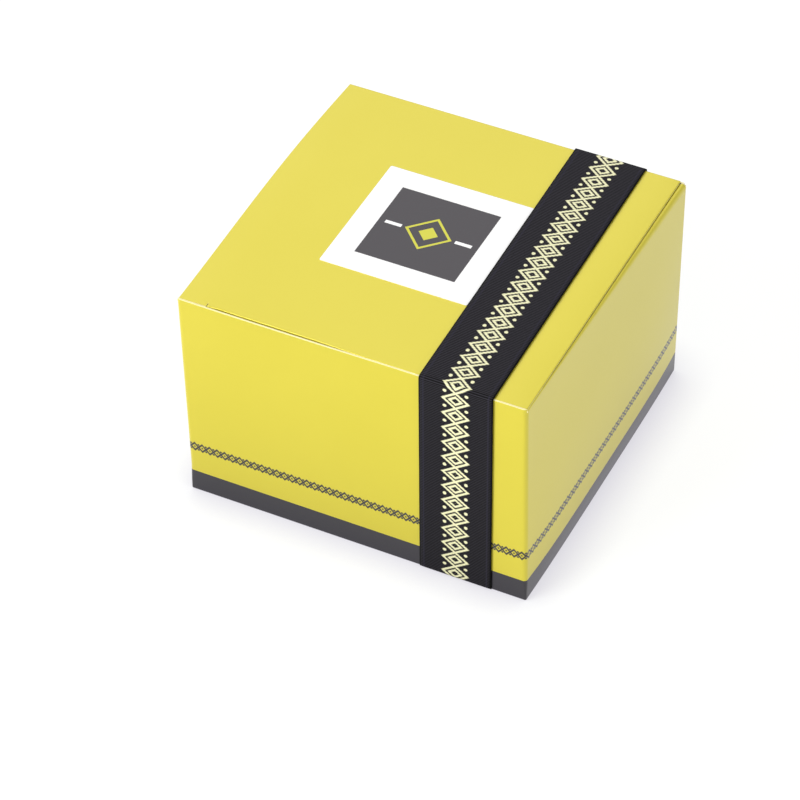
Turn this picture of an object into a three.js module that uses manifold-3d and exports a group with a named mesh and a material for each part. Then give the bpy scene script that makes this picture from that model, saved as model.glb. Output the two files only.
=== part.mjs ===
// A tuck-top folding carton of wrapped chocolates with a ribbon round it and a label on its lid.
// Millimetres, +Z up. The carton stands on the ribbon's lower run, at z = 0, with its front wall facing -Y.
// The origin is on the table, under the middle of the carton.

import * as THREE from "three";
import { mergeVertices } from "three/addons/utils/BufferGeometryUtils.js";
import Module from "manifold-3d";

const wasm = await Module();
wasm.setup();

// Driving dimensions of the carton board and its folds
const CARTON_WIDTH = 120;
const CARTON_DEPTH = 120;
const CARTON_HEIGHT = 81.5;
const BOARD = 0.5;
const INSIDE_FOLD_RADIUS = 0.5;
const PLY_GAP = 0.3;
const GLUE_FLAP_WIDTH = 14;
const GLUE_FLAP_TAPER = 6;

// Driving dimensions of the closure
const LID_SIDE_INSET = 0.4;
const LID_FRONT_GAP = 0.4;
const TUCK_DEPTH = 18;
const TUCK_SIDE_CLEARANCE = 1.2;
const TUCK_CORNER_RADIUS = 12;
const TUCK_SWING_CLEARANCE = 0.25;
const SLIT_LENGTH = 9.6;
const SLIT_WIDTH = 1.2;
const DUST_LENGTH = 48;
const DUST_TAPER = THREE.MathUtils.degToRad(30);
const DUST_FRONT_SETBACK = 3.6;
const DUST_BACK_SETBACK = 1.6;
const DUST_CORNER_RADIUS = 8;

// Driving dimensions of the snap-lock base
const TONGUE_WIDTH = 40;
const TONGUE_OVERLAP = 8;
const TONGUE_RISE = 10;
const MOUTH_SETBACK = 10;
const MOUTH_CLEARANCE = 4;
const LEG_LENGTH = 12;
const SHOULDER_WIDTH = 14;
const SIDE_FLAP_SPLIT = 12;
const BASE_CORNER_RELIEF = 2;
const SIDE_PLY = 1;
const BACK_PLY = 2;
const TONGUE_PLY = 3;

// Driving dimensions of the label and the ribbon
const LABEL_SIDE = 51.5;
const LABEL_THICKNESS = 0.15;
const LABEL_GAP = 0.35;
const LABEL_Y = 1.1;
const RIBBON_WIDTH = 25;
const RIBBON_THICKNESS = 0.4;
const RIBBON_INSET = 12;
const RIBBON_PLAY = 0.15;
const RIBBON_BEND = 0.6;
const RIBBON_END_GAP = 0.2;

// Driving dimensions of the pads and the wrapped chocolates
const PAD = 0.8;
const PAD_CORNER_RADIUS = 3;
const LAYERS = 3;
const LARGE_SIDE = 38.5;
const SMALL_SIDE = 25;
const SQUARE_HEIGHT = 14;
const BAR_HEIGHT = 17;
const TAPERED_HEIGHT = 17;
const WRAP_EDGE = 0.8;
const WRAP_CORNER_RADIUS = 2.5;
const SQUARE_DRAFT = 0.8;
const TAPERED_DRAFT = 2.2;
const BAR_CROWN = 6;

// Facets of the round stretches
const FOLD_STEPS = 6;
const WRAP_CORNER_STEPS = 2;
const WRAP_CROWN_STEPS = 3;

// Places that follow from the driving dimensions
const HALF_WIDTH = CARTON_WIDTH / 2;
const HALF_DEPTH = CARTON_DEPTH / 2;
const FOLD_RADIUS = INSIDE_FOLD_RADIUS + BOARD;
const RIBBON_LIFT = LABEL_THICKNESS + RIBBON_PLAY;
const RIBBON_X = HALF_WIDTH - RIBBON_INSET - RIBBON_WIDTH / 2;
const LABEL_X = RIBBON_X - RIBBON_WIDTH / 2 - LABEL_GAP - LABEL_SIDE / 2;
const BASE_Z = RIBBON_THICKNESS + RIBBON_LIFT;
const TOP_Z = BASE_Z + CARTON_HEIGHT;
const LID_UNDERSIDE_Z = TOP_Z - BOARD;
const DUST_TOP_Z = LID_UNDERSIDE_Z - PLY_GAP;
const FRONT_INSIDE_Y = -HALF_DEPTH + BOARD;
const LID_FRONT_Y = FRONT_INSIDE_Y + LID_FRONT_GAP;
const FLAP_HALF_WIDTH = HALF_WIDTH - BOARD - PLY_GAP;
const FLAP_HALF_DEPTH = HALF_DEPTH - BOARD - PLY_GAP;
const DUST_FRONT_Y = FRONT_INSIDE_Y + DUST_FRONT_SETBACK;
const DUST_BACK_Y = FLAP_HALF_DEPTH - DUST_BACK_SETBACK;
const CONTENT_HALF_WIDTH = FLAP_HALF_WIDTH - BOARD;
const CONTENT_HALF_DEPTH = FLAP_HALF_DEPTH - BOARD;
const PLY_PITCH = BOARD + PLY_GAP;
const TONGUE_Z = BASE_Z + TONGUE_PLY * PLY_PITCH;

const FINISHES = {
  pearl_yellow: { color: 0xe6dc66, roughness: 0.36, metalness: 0.35 },
  inside_board: { color: 0xe9e4d4, roughness: 0.85, metalness: 0 },
  label_paper: { color: 0xf6f6f4, roughness: 0.7, metalness: 0 },
  ribbon: { color: 0x2b292d, roughness: 0.75, metalness: 0 },
  peach_foil: { color: 0xd9b89a, roughness: 0.35, metalness: 0.7 },
  pale_gold_foil: { color: 0xe6dcae, roughness: 0.35, metalness: 0.7 },
  yellow_foil: { color: 0xe0cf52, roughness: 0.3, metalness: 0.8 },
  bronze_foil: { color: 0x8d7f71, roughness: 0.35, metalness: 0.7 },
};

// A closed solid for joining and cutting, from a geometry.
function solidOf(geometry) {
  const bare = geometry.clone();
  bare.deleteAttribute("normal");
  bare.deleteAttribute("uv");
  const merged = mergeVertices(bare, 1e-4);
  const mesh = new wasm.Mesh({
    numProp: 3,
    vertProperties: merged.attributes.position.array,
    triVerts: new Uint32Array(merged.index.array),
  });
  return new wasm.Manifold(mesh);
}

// The geometry of a joined or cut solid.
function geometryOf(solid) {
  const mesh = solid.getMesh();
  const geometry = new THREE.BufferGeometry();
  geometry.setAttribute("position", new THREE.BufferAttribute(mesh.vertProperties, 3));
  geometry.setIndex(new THREE.BufferAttribute(mesh.triVerts, 1));
  geometry.computeVertexNormals();
  return geometry;
}

function piece(name, geometry, finish) {
  const mesh = new THREE.Mesh(geometry, new THREE.MeshStandardMaterial(FINISHES[finish]));
  mesh.name = name;
  return mesh;
}

function box(low, high) {
  const size = new THREE.Vector3().subVectors(high, low);
  const middle = new THREE.Vector3().addVectors(low, high).multiplyScalar(0.5);
  return new THREE.BoxGeometry(size.x, size.y, size.z).translate(middle.x, middle.y, middle.z);
}

// A flat sheet: its outline lies in XY and its thickness rises from z = 0.
function sheet(outline, thickness) {
  return new THREE.ExtrudeGeometry(outline, {
    depth: thickness,
    bevelEnabled: false,
    curveSegments: FOLD_STEPS,
  });
}

// A profile drawn in YZ and drawn out along X, centred on x = 0.
function drawnAcross(profile, width) {
  const geometry = sheet(profile, width);
  geometry.rotateX(Math.PI / 2);
  geometry.rotateZ(Math.PI / 2);
  return geometry.translate(-width / 2, 0, 0);
}

// A rounded rectangle, as a shape or as the path of a hole.
function roundedRectangle(halfWidth, halfDepth, radius, path = new THREE.Shape()) {
  const x = halfWidth - radius;
  const y = halfDepth - radius;
  path.absarc(x, y, radius, 0, Math.PI / 2);
  path.absarc(-x, y, radius, Math.PI / 2, Math.PI);
  path.absarc(-x, -y, radius, Math.PI, 1.5 * Math.PI);
  path.absarc(x, -y, radius, 1.5 * Math.PI, 2 * Math.PI);
  path.closePath();
  return path;
}

function outlineThrough(corners) {
  return new THREE.Shape(corners.map(([x, y]) => new THREE.Vector2(x, y)));
}

// An outline through corners, each rounded by its own radius (0 leaves it sharp).
function roundedOutline(corners) {
  const points = corners.map(([x, y]) => new THREE.Vector2(x, y));
  const shape = new THREE.Shape();
  points.forEach((corner, i) => {
    const before = points[(i + points.length - 1) % points.length];
    const after = points[(i + 1) % points.length];
    const back = new THREE.Vector2().subVectors(before, corner).normalize();
    const on = new THREE.Vector2().subVectors(after, corner).normalize();
    const halfAngle = Math.acos(THREE.MathUtils.clamp(back.dot(on), -1, 1)) / 2;
    const radius = corners[i][2] ?? 0;
    const run = radius / Math.tan(halfAngle);
    const start = corner.clone().addScaledVector(back, run);
    const end = corner.clone().addScaledVector(on, run);
    if (i === 0) shape.moveTo(start.x, start.y);
    else shape.lineTo(start.x, start.y);
    if (radius > 0) shape.quadraticCurveTo(corner.x, corner.y, end.x, end.y);
  });
  shape.closePath();
  return shape;
}

// The four walls are one scored sheet. Only the front wall reaches the lid's top: the others stop at their
// top creases, and the side walls turn in there to their dust flaps. The glue flap of the left wall is
// bonded inside the back wall, with tapered ends.
function cartonSleeve() {
  const outside = roundedRectangle(HALF_WIDTH, HALF_DEPTH, FOLD_RADIUS);
  const inside = [HALF_WIDTH - BOARD, HALF_DEPTH - BOARD, INSIDE_FOLD_RADIUS];
  outside.holes.push(roundedRectangle(...inside, new THREE.Path()));
  const walls = solidOf(sheet(outside, CARTON_HEIGHT).translate(0, 0, BASE_Z));
  const low = new THREE.Vector3(-CARTON_WIDTH, FRONT_INSIDE_Y, DUST_TOP_Z);
  const high = new THREE.Vector3(CARTON_WIDTH, CARTON_DEPTH, TOP_Z + BOARD);
  let sleeve = walls.subtract(solidOf(box(low, high))).add(glueFlap());
  for (const side of [-1, 1]) {
    sleeve = sleeve.subtract(dustFoldRoom(side)).add(dustFold(side));
  }
  return geometryOf(sleeve);
}

// The end of a side wall that its fold takes the place of.
function dustFoldRoom(side) {
  const low = new THREE.Vector3(HALF_WIDTH - FOLD_RADIUS, DUST_FRONT_Y, DUST_TOP_Z - FOLD_RADIUS);
  const high = new THREE.Vector3(CARTON_WIDTH, DUST_BACK_Y, TOP_Z);
  const room = box(low, high);
  return solidOf(side > 0 ? room : room.rotateZ(Math.PI).translate(0, DUST_FRONT_Y + DUST_BACK_Y, 0));
}

// The quarter round in which a side wall's top turns in to its dust flap, with a root in the wall.
function dustFold(side) {
  const centreX = HALF_WIDTH - FOLD_RADIUS;
  const centreZ = DUST_TOP_Z - FOLD_RADIUS;
  const right = Math.PI / 2;
  const profile = new THREE.Shape();
  profile.moveTo(HALF_WIDTH, centreZ - BOARD);
  profile.absarc(centreX, centreZ, FOLD_RADIUS, 0, right);
  profile.absarc(centreX, centreZ, INSIDE_FOLD_RADIUS, right, 0, true);
  profile.lineTo(HALF_WIDTH - BOARD, centreZ - BOARD);
  profile.closePath();
  const fold = sheet(profile, DUST_BACK_Y - DUST_FRONT_Y).rotateX(right);
  fold.translate(0, DUST_BACK_Y, 0);
  return solidOf(side > 0 ? fold : fold.rotateZ(Math.PI).translate(0, DUST_FRONT_Y + DUST_BACK_Y, 0));
}

function glueFlap() {
  const root = -HALF_WIDTH + BOARD / 2;
  const edge = -HALF_WIDTH + BOARD + GLUE_FLAP_WIDTH;
  const foot = BASE_Z + GLUE_FLAP_TAPER;
  const head = DUST_TOP_Z - GLUE_FLAP_TAPER;
  const outline = outlineThrough([
    [root, foot],
    [edge, foot + GLUE_FLAP_TAPER],
    [edge, head - GLUE_FLAP_TAPER],
    [root, head],
  ]);
  const bond = BOARD / 2;
  const flap = sheet(outline, BOARD + bond).rotateX(Math.PI / 2);
  return solidOf(flap.translate(0, HALF_DEPTH - BOARD + bond, 0));
}

// Creased to the back wall and to the tuck flap, with both folds rounded. Its sides lie over the dust
// flaps, its front edge behind the front wall.
function lidPanel() {
  const front = LID_FRONT_Y + BOARD;
  const back = HALF_DEPTH - PLY_GAP - BOARD;
  const profile = new THREE.Shape();
  profile.absarc(back, LID_UNDERSIDE_Z, BOARD, 0, Math.PI / 2);
  profile.absarc(front, LID_UNDERSIDE_Z, BOARD, Math.PI / 2, Math.PI);
  profile.closePath();
  return drawnAcross(profile, CARTON_WIDTH - 2 * LID_SIDE_INSET);
}

// The flap leans in just enough that its lower edge clears the front wall as the lid swings up.
function tuckLean() {
  const reach = HALF_DEPTH - LID_FRONT_Y;
  return Math.asin(TUCK_DEPTH / (2 * reach) + TUCK_SWING_CLEARANCE / TUCK_DEPTH);
}

// Hangs from the lid's front crease. A slit frees each end of its top edge from the lid.
function tuckFlap() {
  const halfWidth = HALF_WIDTH - BOARD - TUCK_SIDE_CLEARANCE;
  const creaseEnd = HALF_WIDTH - SLIT_LENGTH;
  const crease = -PLY_GAP;
  const slit = crease - SLIT_WIDTH;
  const foot = crease - TUCK_DEPTH;
  const radius = Math.min(TUCK_CORNER_RADIUS, slit - foot);
  const outline = roundedOutline([
    [creaseEnd, crease],
    [-creaseEnd, crease],
    [-creaseEnd, slit],
    [-halfWidth, slit],
    [-halfWidth, foot, radius],
    [halfWidth, foot, radius],
    [halfWidth, slit],
    [creaseEnd, slit],
  ]);
  return sheet(outline, BOARD).rotateX(Math.PI / 2);
}

// Creased to a side wall's fold, under the lid. Its back edge is tapered so that it can rise with the lid.
function dustFlap(side) {
  const root = HALF_WIDTH - FOLD_RADIUS - PLY_GAP;
  const crease = side * root;
  const tip = side * (root - DUST_LENGTH);
  const tipBack = DUST_BACK_Y - DUST_LENGTH * Math.tan(DUST_TAPER);
  const outline = roundedOutline([
    [crease, DUST_FRONT_Y],
    [tip, DUST_FRONT_Y, DUST_CORNER_RADIUS],
    [tip, tipBack, DUST_CORNER_RADIUS],
    [crease, DUST_BACK_Y],
  ]);
  return sheet(outline, BOARD).translate(0, 0, DUST_TOP_Z - BOARD);
}

// The base flaps lie in plies: the front flap outside, the side flaps on it, the back flap innermost. The
// front flap's tongue rises through the back flap's mouth and rests on the back flap.
const MOUTH_Y = -MOUTH_SETBACK;
const MOUTH_HALF_WIDTH = TONGUE_WIDTH / 2 + MOUTH_CLEARANCE;
const SHOULDER_Y = MOUTH_Y - TONGUE_RISE - MOUTH_CLEARANCE;

function baseFlapBack() {
  const back = FLAP_HALF_DEPTH;
  const legHalfWidth = FLAP_HALF_WIDTH - BASE_CORNER_RELIEF;
  const outline = outlineThrough([
    [-legHalfWidth, back],
    [-legHalfWidth, MOUTH_Y],
    [-legHalfWidth + LEG_LENGTH, MOUTH_Y - LEG_LENGTH],
    [-MOUTH_HALF_WIDTH, MOUTH_Y - LEG_LENGTH],
    [-MOUTH_HALF_WIDTH, MOUTH_Y],
    [MOUTH_HALF_WIDTH, MOUTH_Y],
    [MOUTH_HALF_WIDTH, MOUTH_Y - LEG_LENGTH],
    [legHalfWidth - LEG_LENGTH, MOUTH_Y - LEG_LENGTH],
    [legHalfWidth, MOUTH_Y],
    [legHalfWidth, back],
  ]);
  return sheet(outline, BOARD).translate(0, 0, BASE_Z + BACK_PLY * PLY_PITCH);
}

// The front edge runs at 45 degrees past the mouth's corner, which leaves the tongue its way up.
function baseFlapSide(side) {
  const crease = FLAP_HALF_WIDTH;
  const split = SIDE_FLAP_SPLIT / 2;
  const back = FLAP_HALF_DEPTH - BASE_CORNER_RELIEF;
  const diagonal = (x) => MOUTH_Y + MOUTH_HALF_WIDTH - x;
  const outline = outlineThrough([
    [side * crease, diagonal(crease)],
    [side * split, diagonal(split)],
    [side * split, back],
    [side * crease, back],
  ]);
  return sheet(outline, BOARD).translate(0, 0, BASE_Z + SIDE_PLY * PLY_PITCH);
}

function baseFlapFront() {
  const front = -FLAP_HALF_DEPTH;
  const tip = MOUTH_Y + TONGUE_OVERLAP;
  const landing = SHOULDER_Y + TONGUE_RISE;
  const bent = outlineThrough([
    [front, BASE_Z],
    [SHOULDER_Y, BASE_Z],
    [landing, TONGUE_Z],
    [tip, TONGUE_Z],
    [tip, TONGUE_Z + BOARD],
    [landing, TONGUE_Z + BOARD],
    [SHOULDER_Y, BASE_Z + BOARD],
    [front, BASE_Z + BOARD],
  ]);
  const creaseHalfWidth = FLAP_HALF_WIDTH - BASE_CORNER_RELIEF;
  const shoulderHalfWidth = TONGUE_WIDTH / 2 + SHOULDER_WIDTH;
  const tongueHalfWidth = TONGUE_WIDTH / 2;
  const outline = roundedOutline([
    [-creaseHalfWidth, front],
    [creaseHalfWidth, front],
    [shoulderHalfWidth, SHOULDER_Y],
    [tongueHalfWidth, SHOULDER_Y],
    [tongueHalfWidth, tip, TONGUE_OVERLAP / 2],
    [-tongueHalfWidth, tip, TONGUE_OVERLAP / 2],
    [-tongueHalfWidth, SHOULDER_Y],
    [-shoulderHalfWidth, SHOULDER_Y],
  ]);
  const prism = solidOf(sheet(outline, TOP_Z));
  return geometryOf(solidOf(drawnAcross(bent, CARTON_WIDTH)).intersect(prism));
}

function label() {
  const outline = roundedRectangle(LABEL_SIDE / 2, LABEL_SIDE / 2, LABEL_THICKNESS);
  return sheet(outline, LABEL_THICKNESS).translate(LABEL_X, LABEL_Y, TOP_Z);
}

// The ribbon's run on the lid, from the lid's front edge to just short of the back crease.
function ribbonTop() {
  const back = HALF_DEPTH - RIBBON_LIFT - RIBBON_THICKNESS - RIBBON_END_GAP;
  const low = new THREE.Vector3(-RIBBON_WIDTH / 2, LID_FRONT_Y, TOP_Z + RIBBON_LIFT);
  const high = new THREE.Vector3(RIBBON_WIDTH / 2, back, TOP_Z + RIBBON_LIFT + RIBBON_THICKNESS);
  return box(low, high).translate(RIBBON_X, 0, 0);
}

// The rest of the ribbon: over the front wall's edge, down the front, under the box and up the back.
function ribbonBand() {
  const inner = HALF_DEPTH + RIBBON_LIFT;
  const outer = inner + RIBBON_THICKNESS;
  const innerTop = TOP_Z + RIBBON_LIFT;
  const outerTop = innerTop + RIBBON_THICKNESS;
  const backEnd = TOP_Z - RIBBON_LIFT - RIBBON_THICKNESS - RIBBON_END_GAP;
  const hookEnd = LID_FRONT_Y - PLY_GAP;
  const bend = RIBBON_BEND;
  const outerBend = RIBBON_BEND + RIBBON_THICKNESS;
  const right = Math.PI / 2;
  const profile = new THREE.Shape();
  profile.moveTo(hookEnd, outerTop);
  profile.absarc(-inner + bend, innerTop - bend, outerBend, right, 2 * right);
  profile.absarc(-inner + bend, outerBend, outerBend, 2 * right, 3 * right);
  profile.absarc(inner - bend, outerBend, outerBend, 3 * right, 4 * right);
  profile.lineTo(outer, backEnd);
  profile.lineTo(inner, backEnd);
  profile.absarc(inner - bend, outerBend, bend, 4 * right, 3 * right, true);
  profile.absarc(-inner + bend, outerBend, bend, 3 * right, 2 * right, true);
  profile.absarc(-inner + bend, innerTop - bend, bend, 2 * right, right, true);
  profile.lineTo(hookEnd, innerTop);
  profile.closePath();
  return drawnAcross(profile, RIBBON_WIDTH).translate(RIBBON_X, 0, 0);
}

function cardPad(z) {
  const outline = roundedRectangle(CONTENT_HALF_WIDTH, CONTENT_HALF_DEPTH, PAD_CORNER_RADIUS);
  return sheet(outline, PAD).translate(0, 0, z);
}

// A ring of points round a rounded rectangle at one height, for lofting.
function wrapSection(halfWidth, halfDepth, radius, z) {
  const points = [];
  for (let quarter = 0; quarter < 4; quarter++) {
    const x = quarter === 0 || quarter === 3 ? halfWidth - radius : radius - halfWidth;
    const y = quarter < 2 ? halfDepth - radius : radius - halfDepth;
    for (let step = 0; step <= WRAP_CORNER_STEPS; step++) {
      const angle = ((quarter + step / WRAP_CORNER_STEPS) * Math.PI) / 2;
      points.push([x + radius * Math.cos(angle), y + radius * Math.sin(angle), z]);
    }
  }
  return points;
}

// A closed solid through rings of equal count, with flat ends.
function loft(sections) {
  const count = sections[0].length;
  const last = (sections.length - 1) * count;
  const indices = [];
  for (let ring = 0; ring < sections.length - 1; ring++) {
    for (let i = 0; i < count; i++) {
      const a = ring * count + i;
      const b = ring * count + ((i + 1) % count);
      indices.push(a, b, b + count, a, b + count, a + count);
    }
  }
  for (let i = 1; i < count - 1; i++) {
    indices.push(0, i + 1, i);
    indices.push(last, last + i, last + i + 1);
  }
  const geometry = new THREE.BufferGeometry();
  geometry.setAttribute("position", new THREE.Float32BufferAttribute(sections.flat(2), 3));
  geometry.setIndex(indices);
  geometry.computeVertexNormals();
  return geometry;
}

// A chocolate in its close wrap: sides that lean in by the draft, and a top edge rounded by the crown.
function wrappedPiece(width, depth, { height, draft, crown }) {
  const corner = WRAP_CORNER_RADIUS;
  const foot = WRAP_EDGE;
  const sections = [
    wrapSection(width / 2 - foot, depth / 2 - foot, corner, 0),
    wrapSection(width / 2, depth / 2, corner, foot),
  ];
  for (let step = 0; step <= WRAP_CROWN_STEPS; step++) {
    const angle = ((step / WRAP_CROWN_STEPS) * Math.PI) / 2;
    const inset = draft + crown * (1 - Math.cos(angle));
    const z = height - crown + crown * Math.sin(angle);
    sections.push(wrapSection(width / 2 - inset, depth / 2 - inset, corner, z));
  }
  return loft(sections);
}

const FLAT_SQUARE = { height: SQUARE_HEIGHT, draft: SQUARE_DRAFT, crown: WRAP_EDGE };
const CROWNED_BAR = { height: BAR_HEIGHT, draft: SQUARE_DRAFT, crown: BAR_CROWN };
const TAPERED_BLOCK = { height: TAPERED_HEIGHT, draft: TAPERED_DRAFT, crown: WRAP_EDGE };
const LAYER_HEIGHT = Math.max(SQUARE_HEIGHT, BAR_HEIGHT, TAPERED_HEIGHT);

// Two large pieces and a small one side by side, spread evenly across the room.
function sidesAcross(halfRoom) {
  const sides = [LARGE_SIDE, LARGE_SIDE, SMALL_SIDE];
  const filled = sides.reduce((sum, side) => sum + side, 0);
  const spacing = (2 * halfRoom - filled) / (sides.length + 1);
  let start = -halfRoom;
  return sides.map((side) => {
    const middle = start + spacing + side / 2;
    start += spacing + side;
    return { side, middle };
  });
}

// The name, form and finish of the chocolate in a cell of the layer.
function kindOf(column, row, parity) {
  const large = [column, row].filter(({ side }) => side === LARGE_SIDE).length;
  if (large === 0) return ["bronze_cube", TAPERED_BLOCK, "bronze_foil"];
  if (large === 2 && parity) return ["peach_square", FLAT_SQUARE, "peach_foil"];
  if (large === 2) return ["pale_gold_square", FLAT_SQUARE, "pale_gold_foil"];
  if (column.side === LARGE_SIDE) return ["yellow_bar", CROWNED_BAR, "yellow_foil"];
  return ["bronze_bar", TAPERED_BLOCK, "bronze_foil"];
}

// Layers of chocolates, each on its card pad. Every other layer is turned half round.
function contents() {
  const group = new THREE.Group();
  const columns = sidesAcross(CONTENT_HALF_WIDTH);
  const rows = sidesAcross(CONTENT_HALF_DEPTH);
  const counts = {};
  for (let layer = 0; layer < LAYERS; layer++) {
    const padZ = TONGUE_Z + BOARD + PLY_GAP + layer * (PAD + LAYER_HEIGHT + 2 * PLY_GAP);
    const padName = layer === 0 ? "base_pad" : `layer_pad_${layer}`;
    group.add(piece(padName, cardPad(padZ), "inside_board"));
    const turn = layer % 2 === 1 ? -1 : 1;
    columns.forEach((column, i) =>
      rows.forEach((row, j) => {
        const [kind, form, finish] = kindOf(column, row, (i + j + layer) % 2);
        counts[kind] = (counts[kind] ?? 0) + 1;
        const mesh = piece(`${kind}_${counts[kind]}`, wrappedPiece(column.side, row.side, form), finish);
        mesh.position.set(turn * column.middle, turn * row.middle, padZ + PAD + PLY_GAP);
        group.add(mesh);
      }),
    );
  }
  return group;
}

// The tuck flap's group sits on its crease, at the flap's inner face, and leans in.
function tuckGroup() {
  const group = new THREE.Group();
  group.position.set(0, LID_FRONT_Y + BOARD, LID_UNDERSIDE_Z);
  group.rotation.x = tuckLean();
  group.add(piece("tuck_flap", tuckFlap(), "pearl_yellow"));
  return group;
}

const chocolateBox = new THREE.Group();
chocolateBox.add(
  piece("carton_sleeve", cartonSleeve(), "pearl_yellow"),
  piece("base_flap_back", baseFlapBack(), "pearl_yellow"),
  piece("base_flap_left", baseFlapSide(-1), "pearl_yellow"),
  piece("base_flap_right", baseFlapSide(1), "pearl_yellow"),
  piece("base_flap_front", baseFlapFront(), "pearl_yellow"),
  piece("lid_panel", lidPanel(), "pearl_yellow"),
  tuckGroup(),
  piece("dust_flap_left", dustFlap(-1), "pearl_yellow"),
  piece("dust_flap_right", dustFlap(1), "pearl_yellow"),
  piece("label", label(), "label_paper"),
  piece("ribbon_top", ribbonTop(), "ribbon"),
  piece("ribbon_band", ribbonBand(), "ribbon"),
  contents(),
);

export default chocolateBox;
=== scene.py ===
"""A tuck-top folding carton of wrapped chocolates with a woven ribbon round it, dressed for rendering.

The frame's solids give every place and size. Each sub-assembly is a class that holds its sizes in metres,
builds its meshes in the frame of the solids and dresses them with its finishes.
"""

from __future__ import annotations

import logging
import math
from dataclasses import dataclass, field, replace
from enum import Enum, IntEnum
from typing import Any, Callable, Iterable, Mapping, Sequence

import bmesh
import bpy
from bmesh.types import BMesh, BMVert
from bpy.types import Material, Node, NodeSocket, NodeTree, Object
from mathutils import Matrix, Vector

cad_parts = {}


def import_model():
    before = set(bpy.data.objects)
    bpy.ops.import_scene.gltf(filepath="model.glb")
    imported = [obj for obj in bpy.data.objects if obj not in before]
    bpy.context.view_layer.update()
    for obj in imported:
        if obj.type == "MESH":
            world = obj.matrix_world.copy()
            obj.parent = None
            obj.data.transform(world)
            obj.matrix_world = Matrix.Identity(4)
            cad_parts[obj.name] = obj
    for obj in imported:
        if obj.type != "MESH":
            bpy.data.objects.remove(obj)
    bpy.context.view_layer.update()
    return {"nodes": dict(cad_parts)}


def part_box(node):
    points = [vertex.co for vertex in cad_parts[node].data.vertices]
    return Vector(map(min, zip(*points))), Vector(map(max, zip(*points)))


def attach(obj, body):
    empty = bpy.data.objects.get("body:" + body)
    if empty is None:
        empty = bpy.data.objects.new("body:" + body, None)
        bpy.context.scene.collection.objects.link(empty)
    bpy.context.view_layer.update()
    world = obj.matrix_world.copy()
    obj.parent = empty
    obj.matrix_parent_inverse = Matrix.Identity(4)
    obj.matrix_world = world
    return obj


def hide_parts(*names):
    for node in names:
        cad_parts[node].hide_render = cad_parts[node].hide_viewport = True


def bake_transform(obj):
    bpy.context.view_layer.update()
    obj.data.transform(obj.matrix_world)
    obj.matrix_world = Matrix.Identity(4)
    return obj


LOG = logging.getLogger("chocolate_box")
MM = 0.001
UV_NAME = "UVMap"
FOLD_STEPS = 8
X_AXIS = Vector((1, 0, 0))
Y_AXIS = Vector((0, 1, 0))
Z_AXIS = Vector((0, 0, 1))


def linear(hex_colour: str) -> tuple[float, float, float, float]:
    """Turns an sRGB hex colour into linear red, green and blue, with full alpha.

    Args:
        hex_colour: The colour as #rrggbb.

    Returns:
        The four channels that a colour socket takes.
    """
    shares = (int(hex_colour[i : i + 2], 16) / 255 for i in (1, 3, 5))
    channels = [s / 12.92 if s <= 0.04045 else ((s + 0.055) / 1.055) ** 2.4 for s in shares]
    return (*channels, 1.0)


def add_node(
    tree: NodeTree, kind: str, inputs: Mapping[str | int, Any] | None = None, **settings: Any
) -> Node:
    """Adds a node with its settings, values and links.

    Args:
        tree: The tree that takes the node.
        kind: The full name of the kind of node, or a shader node's without ShaderNode before it.
        inputs: For an input's name or number, a value, a socket to link from, or a node whose first
            output is linked.
        **settings: The node's own properties.

    Returns:
        The new node.
    """
    node = tree.nodes.new(kind if "Node" in kind else f"ShaderNode{kind}")
    for name, value in settings.items():
        setattr(node, name, value)
    for key, value in (inputs or {}).items():
        if isinstance(value, Node):
            value = value.outputs[0]
        if isinstance(value, NodeSocket):
            tree.links.new(value, node.inputs[key])
        else:
            node.inputs[key].default_value = value
    return node


def finish_mesh(name: str, build: BMesh, materials: Sequence[Material]) -> Object:
    """Turns a finished bmesh into an object at the origin.

    Args:
        name: The piece's name.
        build: The mesh, which is freed.
        materials: The materials by the index that the faces hold.

    Returns:
        The object, linked to the scene.
    """
    mesh = bpy.data.meshes.new(name)
    build.to_mesh(mesh)
    build.free()
    for material in materials:
        mesh.materials.append(material)
    piece = bpy.data.objects.new(name, mesh)
    bpy.context.scene.collection.objects.link(piece)
    return piece


def settle(piece: Object, name: str) -> Object:
    """Replaces an object that has modifiers by a plain mesh of what they make.

    Args:
        piece: The object with its modifiers, which is removed.
        name: The name of the plain piece.

    Returns:
        The plain piece.
    """
    graph = bpy.context.evaluated_depsgraph_get()
    mesh = bpy.data.meshes.new_from_object(piece.evaluated_get(graph))
    mesh.name = name
    bpy.data.objects.remove(piece)
    plain = bpy.data.objects.new(name, mesh)
    bpy.context.scene.collection.objects.link(plain)
    return plain


def report(piece: Object, body: str) -> None:
    """Logs a finished piece with its size and the body that carries it."""
    LOG.info("%s: %d faces, on %s", piece.name, len(piece.data.polygons), body)


@dataclass(frozen=True)
class Extent:
    """The box that a solid of the frame fills."""

    low: Vector
    high: Vector

    @classmethod
    def of(cls, node: str) -> Extent:
        """Reads a node's box from the frame."""
        return cls(*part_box(node))

    @property
    def middle(self) -> Vector:
        """The centre of the box."""
        return (self.low + self.high) / 2

    @property
    def size(self) -> Vector:
        """The width, depth and height of the box."""
        return self.high - self.low


# Finishes


class Finish:
    """A surface that can be put on a piece. Each kind fills in its own shader.

    The kinds name their values alike. A pattern is named for its size in metres. Its depth is how far it
    stands up, its detail is how many finer sizes it has, and bump is how strongly the relief shows. The
    roughness changes up and down from its middle value.
    """

    name: str

    def material(self) -> Material:
        """The finish as a material, made when it is first asked for."""
        made = bpy.data.materials.get(self.name)
        if made is None:
            made = bpy.data.materials.new(self.name)
            made.use_nodes = True
            made.node_tree.nodes.clear()
            shader = self.shader(made.node_tree)
            add_node(made.node_tree, "OutputMaterial", {"Surface": shader})
        return made

    def shader(self, tree: NodeTree) -> Node:
        """Builds the shader in the material's tree and returns it."""
        raise NotImplementedError


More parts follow.
